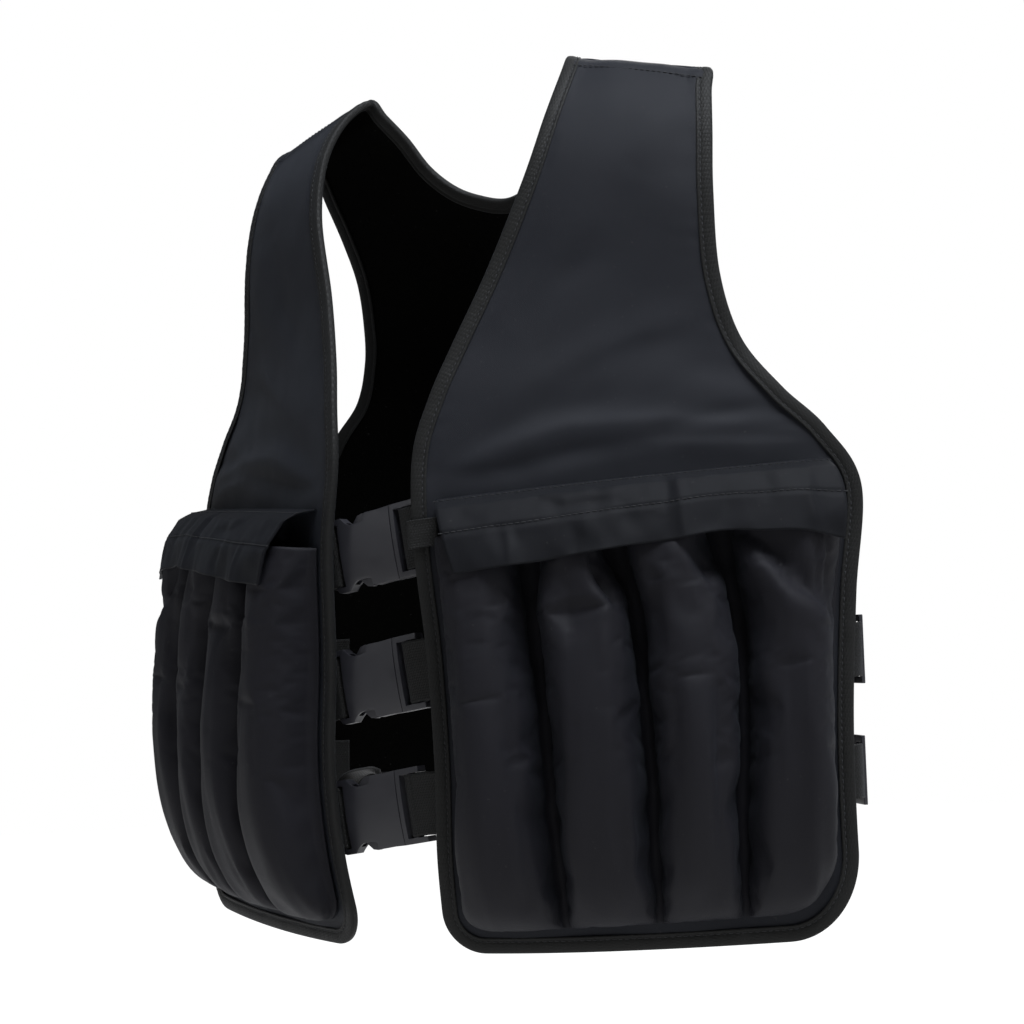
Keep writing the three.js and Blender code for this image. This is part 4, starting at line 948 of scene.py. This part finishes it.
# %% Sizes of a flap
FLAP_SEAM, FLAP_DROP, FLAP_REACH, FLAP_MARGIN = (v * MM for v in (269, 46, 34.4, 16))
DOWN = np.array([0, 0.08, 0.20, 0.50, 1.00])
OUT = np.array([0, 0.35, 0.60, 0.86, 1.00])
FLAP_FOLDS = [
    ([(66, 264), (92, 250), (122, 250)], -2.0, 4, 8),
    ([(100, 262), (112, 256), (128, 258)], 1.4, 4, 5),
    ([(30, 256), (48, 244), (70, 240)], -1.4, 5, 8),
    ([(150, 268), (152, 252), (149, 238)], -2.0, 3, 5),
    ([(158, 266), (159, 246), (158, 222)], 1.8, 2.5, 3),
    ([(60, 244), (62, 232), (61, 220)], 1.8, 2.5, 3),
    ([(96, 242), (99, 232), (97, 222)], -1.5, 4, 4),
    ([(178, 262), (184, 246), (180, 222)], -1.6, 6, 8),
    ([(232, 262), (230, 240), (232, 218)], 1.7, 3, 4),
    ([(204, 262), (208, 248), (205, 236)], -1.4, 5, 7),
]
FLAP_SLANT, FLAP_DIP, FLAP_RIDE = (v * MM for v in (12, 14, 1.8))
FOLDED_EDGE = 0.53  # the share of the drop at which the folded hem is sewn


def flap_grid(thickness, side, columns=120, rows=40):
    """The points and normals of a layer of the left flap, and the share of the drop at each."""
    t, c = np.meshgrid(np.linspace(1, 0, rows), np.linspace(0, 1, columns), indexing="ij")
    longer = FLAP_DIP * np.clip((c - 0.72) / 0.28, 0, 1) ** 1.4 + 1.5 * MM * ripple(c * 9, 0.5, 51)
    height = FLAP_SEAM - (FLAP_DROP + longer) * t
    row = front_row(height)
    span = width(row)
    margin = FLAP_MARGIN / span
    across = margin + FLAP_SLANT * t / span * (1 - c) + (1 - 2 * margin) * c
    s, h, seed = across * span / MM, height / MM, 41 if side == "left" else 43
    ride = FLAP_RIDE * np.cos((c * CELLS - 0.5) * 2 * math.pi) * t**2
    loose = 1.1 * MM * ripple(s / 22, h / 15, seed) + 0.5 * MM * ripple(s / 8, h / 12, seed + 1)
    loose = loose * np.clip(t * 6, 0, 1)
    hem = 0.6 * MM * (t > FOLDED_EDGE) - 0.9 * MM * np.exp(-((t - FOLDED_EDGE) / 0.03) ** 2)
    lift = SEWN_GAP + FLAP_REACH * np.interp(t, DOWN, OUT) + thickness + ride + loose + hem
    lift = lift + folds(s, h, FLAP_FOLDS) * np.clip(t * 8, 0, 1)
    return (*place(across, row, lift), t)


for side in ("left", "right"):
    outer, normals, t = flap_grid(POCKET_CLOTH, side)
    inner = flap_grid(0.0, side)[0]
    mirror = (-1 if side == "right" else 1, 1, 1)
    for line in (-4, round((1 - FOLDED_EDGE) * len(t))):
        above = outer[line] + normals[line] * 0.25 * MM
        thread_runs.append((above * mirror, normals[line] * mirror))
    flap = sewn_sheet(f"pocket_flap_{side}", outer, inner, SHADED_FLAP_FINISH, side)
    print("flap", side, round(float(arc_length(outer[0])[-1]) / MM), "mm long")

# %% [markdown]
# ## Webbing
#
# A webbing strap is a flat woven band with round edges. Each strap is a sweep through the stations
# that the CAD uses: sewn inside the panel, round a buckle's bar and back. The stations are joined
# by a smooth curve so that the band bends like webbing and not like tin.

# %% Bands through stations
STRAP_WIDTH, STRAP_CLOTH, BAND_SPACING = (v * MM for v in (38, 1.6, 1.2))
# across in half widths, and out in thicknesses: a round edge, a sunk edge line, a crowned face
BAND_SIDE = [(1.0, 0.0), (0.985, 0.35), (0.95, 0.5), (0.9, 0.5), (0.86, 0.42), (0.5, 0.5)]
BAND_FACE = np.array([(-x, y) for x, y in BAND_SIDE] + [(0.0, 0.52)] + BAND_SIDE[::-1])
BAND_PROFILE = np.concatenate([BAND_FACE, BAND_FACE[-2:0:-1] * (1, -1)])


def band(name, low, high, stands_for=(), flip=False, finish=WEBBING_FINISH):
    """A strap whose two edges follow the points of low and high."""
    fine = np.linspace(0, len(low) - 1, 40 * len(low))
    low, high = smooth(np.array(low), fine), smooth(np.array(high), fine)
    run = arc_length((low + high) / 2)
    at = np.linspace(0, run[-1], max(2, round(run[-1] / BAND_SPACING)))
    low, high = points_at(low, run, at), points_at(high, run, at)
    middle, half = (low + high) / 2, (high - low) / 2
    normal = unit(np.cross(unit(np.gradient(middle, axis=0)), half))
    verts, faces = tube(middle[:, None] + half[:, None] * BAND_PROFILE[None, :, :1]
                        + normal[:, None] * BAND_PROFILE[None, :, 1:] * STRAP_CLOTH)
    around = BAND_PROFILE[None, :, 0] * np.linalg.norm(half, axis=-1).mean()
    uv = np.stack(np.broadcast_arrays(around, at[:, None]), -1).reshape(-1, 2)
    if flip:
        verts, faces = mirrored(verts, faces)
    piece(name, verts, faces, [finish], stands_for, uv=uv)


# %% Where straps are sewn
WEBBING_GAP, SEAT_GAP, SEWN_START, SEWN_END = (v * MM for v in (0.9, 0.3, 28, 58))
BACK_ROWS = np.linspace(RIDGE, BACK_HEM, 4001)
EDGE_TABLES = {
    "front_inner": (inner_edge(ROWS)[:, 2], ROWS),
    "front_outer": (outer_edge(ROWS)[:, 2], ROWS),
    "back_outer": (outer_edge(BACK_ROWS)[::-1, 2], BACK_ROWS[::-1]),
}


def sewn_point(edge, distance, depth, lift):
    """A point in from an edge of the left half, level with a depth below the origin."""
    row = np.interp(-depth, *EDGE_TABLES[edge])
    share = distance / width(row)
    return place(share if edge == "front_inner" else 1 - share, row, lift)[0]


def sewn_ends(edge, distance, depth, half, lift, side=1):
    """The low and the high edge of a band at one station."""
    return [sewn_point(edge, distance, depth + shift, lift) * (side, 1, 1) for shift in (half, -half)]


# %% The three buckles' seats
BUCKLE_TOP, BUCKLE_PITCH, BUCKLE_SETBACK, BUCKLE_TUCK = (v * MM for v in (309, 80.5, 16, 7))
BUCKLE_TILT = math.radians(9)
SOCKET_LENGTH, BAR_WIDTH, BAR_THICKNESS, SLOT_LENGTH = (v * MM for v in (49, 3.2, 5, 4.4))
PLUG_GAP = 0.6 * MM
PLUG_BAR = SOCKET_LENGTH + PLUG_GAP + BAR_WIDTH + SLOT_LENGTH


def buckle_seat(i):
    depth = BUCKLE_TOP + BUCKLE_PITCH * i
    edge = inner_edge(np.interp(-depth, *EDGE_TABLES["front_inner"]))
    x = -edge[0] - BUCKLE_TUCK
    return np.array([x, edge[1] + BUCKLE_SETBACK, -depth + x * math.tan(BUCKLE_TILT)])


def buckle_frame(points, seat):
    """Points given along, across and out of a buckle, in the vest's frame."""
    along, across, out = np.moveaxis(np.asarray(points, float), -1, 0)
    c, s = math.cos(BUCKLE_TILT), math.sin(BUCKLE_TILT)
    return np.stack([along * c - across * s, -out, along * s + across * c], -1) + seat


print("top buckle at", [round(v / MM) for v in buckle_seat(0)], "mm")

# %% The front straps
WRAP_OUT = BAR_THICKNESS / 2 + SEAT_GAP + STRAP_CLOTH / 2
WRAP_FAR = BAR_WIDTH + SEAT_GAP + STRAP_CLOTH / 2
# along and out of the buckle, from the front leg to the middle of the bar's far side
HALF_TURN = [(-6 * MM, WRAP_OUT - 0.3 * MM), (-1 * MM, WRAP_OUT), (2 * MM, WRAP_OUT),
             (WRAP_FAR - 0.5 * MM, WRAP_OUT - 0.7 * MM), (WRAP_FAR, 1.6 * MM)]
TURN = HALF_TURN + [(along, -out) for along, out in HALF_TURN[::-1]]
LEG_LIFT = -PANEL_CLOTH - WEBBING_GAP - STRAP_CLOTH / 2
LEG_PITCH = STRAP_CLOTH + SEAT_GAP


def front_strap(i, side):
    seat = buckle_seat(i)
    depth = BUCKLE_TOP + BUCKLE_PITCH * i - side * SEWN_START * math.tan(BUCKLE_TILT)
    half = STRAP_WIDTH / 2
    legs = [[sewn_ends("front_inner", d, depth, half, lift, side) for d in (SEWN_END, SEWN_START)]
            for lift in (LEG_LIFT, LEG_LIFT - LEG_PITCH)]
    turn = []
    for along, out in TURN:
        reach = along if side < 0 else PLUG_BAR + BAR_WIDTH - along
        turn.append([buckle_frame((reach, across, out), seat) for across in (-half, half)])
    stations = legs[0] + turn + legs[1][::-1]
    word = "left" if side > 0 else "right"
    low, high = zip(*stations)
    band(f"front_strap_{word}_{i + 1}_band", low, high, stands_for=[f"front_strap_{word}_{i + 1}"])


for i in range(3):
    for side in (-1, 1):
        front_strap(i, side)
print("front straps done")

# %% The loose end of the bottom strap, curled behind its buckle
# along, across and out of the buckle, and half of the band's width across and out
CURL = [(-5, 17, -6.5, 6, 0.5), (3, 22, -7.5, 5, 3), (11, 26, -8.5, 2, 6), (20, 26.5, -8.5, 1.5, 6.5),
        (27, 24, -7.5, 4, 4), (31, 20, -7, 6, 1)]
along, across, out, half_across, half_out = np.array(CURL).T * MM
low, high = (buckle_frame(np.stack([along, across + k * half_across, out + k * half_out], 1),
                          buckle_seat(2)) for k in (-1, 1))
band("loose_webbing_end", low, high, finish=WORN_FINISH)
print("loose end:", len(CURL), "stations")

# %% [markdown]
# ## The side-release buckles
#
# The socket is a flat moulded sleeve with a waist on each side, where the plug's two sprung tabs
# show. Its outline is drawn once, with curves, pushed to a thickness, cut hollow and slotted with
# booleans, and then bevelled, as the mould's edges are. Last the faces are crowned, so that they
# catch the light the way a moulded face does.


# %% Moulded plates
def outline(knots):
    """A closed outline from corners and curves: each knot is (x, y), or four points of a curve."""
    points = []
    for knot in knots:
        if len(knot) == 2:
            points.append(np.array(knot, float))
        else:
            a, b, c, d = (np.array(p, float) for p in knot)
            for t in np.linspace(0, 1, 12):
                points.append(a * (1 - t)**3 + 3 * b * t * (1 - t)**2
                              + 3 * c * t * t * (1 - t) + d * t**3)
    return points


def plate(points, low, high):
    """A closed plate from an outline in mm, between two heights."""
    made = bmesh.new()
    base = [made.verts.new((x * MM, y * MM, low * MM)) for x, y in points]
    bottom = made.faces.new(base)
    grown = bmesh.ops.extrude_face_region(made, geom=[bottom])["geom"]
    bmesh.ops.translate(made, verts=[v for v in grown if isinstance(v, bmesh.types.BMVert)],
                        vec=(0, 0, (high - low) * MM))
    bmesh.ops.recalc_face_normals(made, faces=made.faces)
    mesh = bpy.data.meshes.new("plate")
    made.to_mesh(mesh)
    made.free()
    return linked("plate", mesh)


def block(x0, x1, half_y, low, high):
    return plate([(x0, -half_y), (x1, -half_y), (x1, half_y), (x0, half_y)], low, high)


def shaped(body):
    """The mesh of an object after its modifiers."""
    seen = body.evaluated_get(bpy.context.evaluated_depsgraph_get())
    return bpy.data.meshes.new_from_object(seen)


def combined(body, others, operation):
    """The body after booleans with the other plates, which are used up."""
    for other in others:
        cut = body.modifiers.new("cut", "BOOLEAN")
        cut.object, cut.operation, cut.solver = other, operation, "EXACT"
    mesh = shaped(body)
    for thing in [body, *others]:
        bpy.data.objects.remove(thing)
    return linked("plate", mesh)


FINE_EDGE, CROWN_RUN, SHARP_ANGLE = 2.6 * MM, 12, math.radians(28)


def moulding(body, bevel, side_fall=0.0, end_fall=0.0):
    """Points and faces of a plate with bevelled edges, thinner toward its sides and its start."""
    edge = body.modifiers.new("edge", "BEVEL")
    edge.width, edge.segments, edge.limit_method = bevel * MM, 3, "ANGLE"
    edge.angle_limit = math.radians(35)
    body.modifiers.new("triangles", "TRIANGULATE")
    fine = bmesh.new()
    fine.from_mesh(shaped(body))
    for _ in range(4):
        long = [e for e in fine.edges if e.calc_length() > FINE_EDGE]
        if long:
            bmesh.ops.subdivide_edges(fine, edges=long, cuts=1)
            bmesh.ops.triangulate(fine, faces=fine.faces)
    points = np.array([v.co for v in fine.verts])
    faces = [[v.index for v in f.verts] for f in fine.faces]
    fine.free()
    bpy.data.objects.remove(body)
    x, y = points[:, 0] / MM, points[:, 1] / MM
    points[:, 2] *= (1 - side_fall * np.clip(np.abs(y) / HALF, 0, 1) ** 2.2
                     - end_fall * np.clip((CROWN_RUN - x) / CROWN_RUN, 0, 1) ** 2)
    return points, faces


def plastic(name, points, faces):
    """A plastic piece with sharp edges, in place of the solid of its name."""
    made = piece(f"{name}_moulding", points, faces, [PLASTIC_FINISH], [name])
    made.data.set_sharp_from_angle(angle=SHARP_ANGLE)


# %% The socket, in mm along, across and out of the buckle
HALF, HALF_THICK = 23.0, 5
NOTCH_START, NOTCH_END, WAIST = 10.6, 30.4, 17.4
NOTCH_LIP = NOTCH_END - 2
ARCH = [[(NOTCH_START, -HALF), (NOTCH_START + 3, -WAIST - 2), (16, -WAIST), (19.5, -WAIST)],
        [(19.5, -WAIST), (24, -WAIST), (NOTCH_LIP - 2, -WAIST), (NOTCH_LIP, -WAIST - 1)]]
half_outline = [(0, -HALF + 3.0), (1.0, -HALF + 0.8), (3, -HALF), *ARCH, (NOTCH_LIP, -HALF + 1.5),
                (NOTCH_END, -HALF + 0.2), (40, -HALF + 0.4), (49, -HALF)]
points = outline(half_outline)
socket_outline = points + [p * (1, -1) for p in points[::-1]]
# each block: from and to along, half across, from and to out
HOLLOW, STRAP_SLOT = (10.8, 60, 19.4, -2.8, 2.8), (3.2, 7.6, 19.5, -9, 9)
THIN_BAR = [(-1.6, 4.8, 19.3, 2.5, 9), (-1.6, 4.8, 19.3, -9, -2.5)]
socket = combined(plate(socket_outline, -HALF_THICK, HALF_THICK),
                  [block(*cut) for cut in (HOLLOW, STRAP_SLOT, *THIN_BAR)], "DIFFERENCE")
socket_mesh = moulding(socket, 0.7, 0.30, 0.10)
print("socket:", len(socket_mesh[1]), "faces")

# %% The plug
ARM = [(50.6, 15.5), (50.6, 18.9), (27.9, 18.9), (27.9, 22.6), (26.8, 23.0), (23.0, 22.2),
       (19.8, 18.9), (18.2, 17.3), (18.2, 15.5)]
ARM_HALF = 2.3
PRONG = (18.8, 50.6, 3.5, -ARM_HALF, ARM_HALF)
BASE = [(49.6, -23), (67.6, -23), (67.6, -19.5), (60.4, -19.5)]
PLUG_SLOT = (52.8, 57.2, 19.5, -9, 9)
THIN_PLUG_BAR = [(56.4, 61.9, 19.3, 2.5, 9), (56.4, 61.9, 19.3, -9, -2.5)]
arms = [plate([(x, side * y) for x, y in ARM], -ARM_HALF, ARM_HALF) for side in (-1, 1)]
base = plate(BASE + [(x, -y) for x, y in BASE[::-1]], -HALF_THICK, HALF_THICK)
plug = combined(base, [*arms, block(*PRONG)], "UNION")
plug = combined(plug, [block(*cut) for cut in (PLUG_SLOT, *THIN_PLUG_BAR)], "DIFFERENCE")
plug_mesh = moulding(plug, 0.6, 0.22)
for i in range(3):
    for name, (points, faces) in (("socket", socket_mesh), ("plug", plug_mesh)):
        plastic(f"buckle_{name}_{i + 1}", buckle_frame(points, buckle_seat(i)), faces)
print("plug:", len(plug_mesh[1]), "faces")

# %% [markdown]
# ## The side straps
#
# Two webbing straps join each front to the back at the side, and each runs through a flat slider:
# over its middle bar and under its two ends.

# %% Side straps and sliders
SIDE_TOP, SIDE_PITCH, SIDE_HALF, SIDE_BOW = (v * MM for v in (382, 72, 16, 10))
SIDE_STATIONS, SLIDER_PLACE = (40, 14, -3), 0.42
FOLD = 1.6 * MM
SIDE_LIFT = -PANEL_CLOTH - FOLD - WEBBING_GAP - STRAP_CLOTH / 2
# the slider in mm: its thickness, its end bars, its slots, its middle bar and its rails
SLIDER_THICK, SLIDER_BAR, SLIDER_SLOT, SLIDER_MIDDLE, SLIDER_RAIL = 2.4, 3.0, 6.0, 4.0, 4.0
near = SLIDER_MIDDLE / 2
far = near + SLIDER_SLOT
tip = far + SLIDER_BAR
clear = SLIDER_THICK / 2 + 0.3 + 0.8
WEAVE_PATH = [(-tip - 3, -clear), (-far, -clear), (-near, clear),
              (near, clear), (far, -clear), (tip + 3, -clear)]
window = SIDE_HALF / MM + 0.5
slider = combined(block(-tip, tip, window + SLIDER_RAIL, -SLIDER_THICK / 2, SLIDER_THICK / 2), [
    block(-far, -near, window, -5, 5), block(near, far, window, -5, 5)], "DIFFERENCE")
slider_points, slider_faces = moulding(slider, 0.45)
for i in range(2):
    depth = SIDE_TOP + SIDE_PITCH * i
    ends = lambda edge, d: sewn_ends(edge, d * MM, depth, SIDE_HALF, SIDE_LIFT)
    front = [ends("front_outer", d) for d in SIDE_STATIONS]
    rear = [ends("back_outer", d) for d in SIDE_STATIONS[::-1]]
    a, b = (np.mean(v, axis=0) for v in (front[-1], rear[0]))
    ahead = unit((b - a) * (1, 1, 0))
    out = np.cross(ahead, (0, 0, 1))
    centre = a + (b - a) * SLIDER_PLACE + out * SIDE_BOW
    lift = np.array((0, 0, SIDE_HALF))
    weave = [[centre + ahead * x * MM + out * y * MM + sign * lift for sign in (-1, 1)]
             for x, y in WEAVE_PATH]
    low, high = zip(*(front + weave + rear))
    axes = np.stack([ahead, (0, 0, 1), out])
    for flip, word in ((False, "left"), (True, "right")):
        band(f"side_strap_{word}_{i + 1}_band", low, high, [f"side_strap_{word}_{i + 1}"], flip)
        mesh = slider_points @ axes + centre, slider_faces
        plastic(f"side_slider_{word}_{i + 1}", *(mirrored(*mesh) if flip else mesh))
print("sliders:", len(slider_faces), "faces each")

# %% The edge tab
TAB_HALF, TAB_REACH, TAB_DEPTH = 8.5 * MM, 15 * MM, 305 * MM
tab_lift = FOLD + SEWN_GAP + STRAP_CLOTH / 2
beyond = -tab_lift
TAB_PATH = [(TAB_REACH, tab_lift - 0.8 * MM), (10 * MM, tab_lift), (4 * MM, tab_lift), (0, tab_lift),
            (beyond + 0.8 * MM, tab_lift - 0.3 * MM), (beyond, tab_lift - 1.4 * MM), (beyond, -2 * MM)]
low, high = zip(*(sewn_ends("front_inner", d, TAB_DEPTH, TAB_HALF, lift) for d, lift in TAB_PATH))
band("edge_tab_band", low, high, stands_for=["edge_tab"])
print("edge tab done")

# %% [markdown]
# ## Thread
#
# Every seam line collected so far gets its stitches in one mesh: short round threads that rise at
# the middle and dive into the cloth at both ends.


# %% Stitches
STITCH_PITCH, STITCH_LENGTH, THREAD_RADIUS, THREAD_SIDES = 3.8 * MM, 2.9 * MM, 0.3 * MM, 6
# along in lengths, up in mm, and thickness
ARCHED = [(-0.5, -0.35, 0.5), (-0.32, 0.05, 1.0), (0.0, 0.2, 1.0), (0.32, 0.05, 1.0),
          (0.5, -0.35, 0.5)]


def stitched(runs):
    """Points and faces of all the stitches along runs of points and normals."""
    verts, faces, count = [], [], 0
    turn = np.linspace(0, 2 * math.pi, THREAD_SIDES, endpoint=False)
    for points, normals in runs:
        points, normals, at = resample(points, normals, STITCH_PITCH)
        ahead = unit(np.gradient(points, axis=0))
        across = unit(np.cross(ahead, normals))
        upward = np.cross(across, ahead)
        rings = []
        for along, rise, thick in ARCHED:
            middle = points + ahead * along * STITCH_LENGTH + upward * rise * MM
            circle = (across[:, None] * np.cos(turn)[None, :, None]
                      + upward[:, None] * np.sin(turn)[None, :, None]) * THREAD_RADIUS * thick
            rings.append(middle[:, None] + circle)
        rings = np.stack(rings, 1)
        number = np.arange(rings[..., 0].size).reshape(rings.shape[:3]) + count
        after = np.roll(number, -1, axis=2)
        quads = np.stack([number[:, :-1], after[:, :-1], after[:, 1:], number[:, 1:]], -1)[..., ::-1]
        faces += quads.reshape(-1, 4).tolist()
        faces += number[:, 0].tolist() + number[:, -1, ::-1].tolist()
        verts.append(rings.reshape(-1, 3))
        count += rings[..., 0].size
    return np.concatenate(verts), faces


SEAM_ROW = front_row(FRONT_LENGTH - 9 * MM)
shoulder = place(np.linspace(0.07, 0.93, 60), SEAM_ROW, 0.9 * MM)
thread_runs += [shoulder, [v * (-1, 1, 1) for v in shoulder]]
verts, faces = stitched(thread_runs)
piece("seam_thread", verts, faces, [THREAD_FINISH], uv=verts[:, [0, 2]])
print("seam thread:", len(faces), "faces in", len(thread_runs), "runs")

# %% [markdown]
# ## Sizes
#
# The dressed vest is meant to fill the same box as the CAD model, so both boxes are gathered at the
# end.

# %% Finish
boxes = {"cad": CAD_BOX, "visual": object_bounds()}
{name: [list(map(float, corner)) for corner in box] for name, box in boxes.items()}
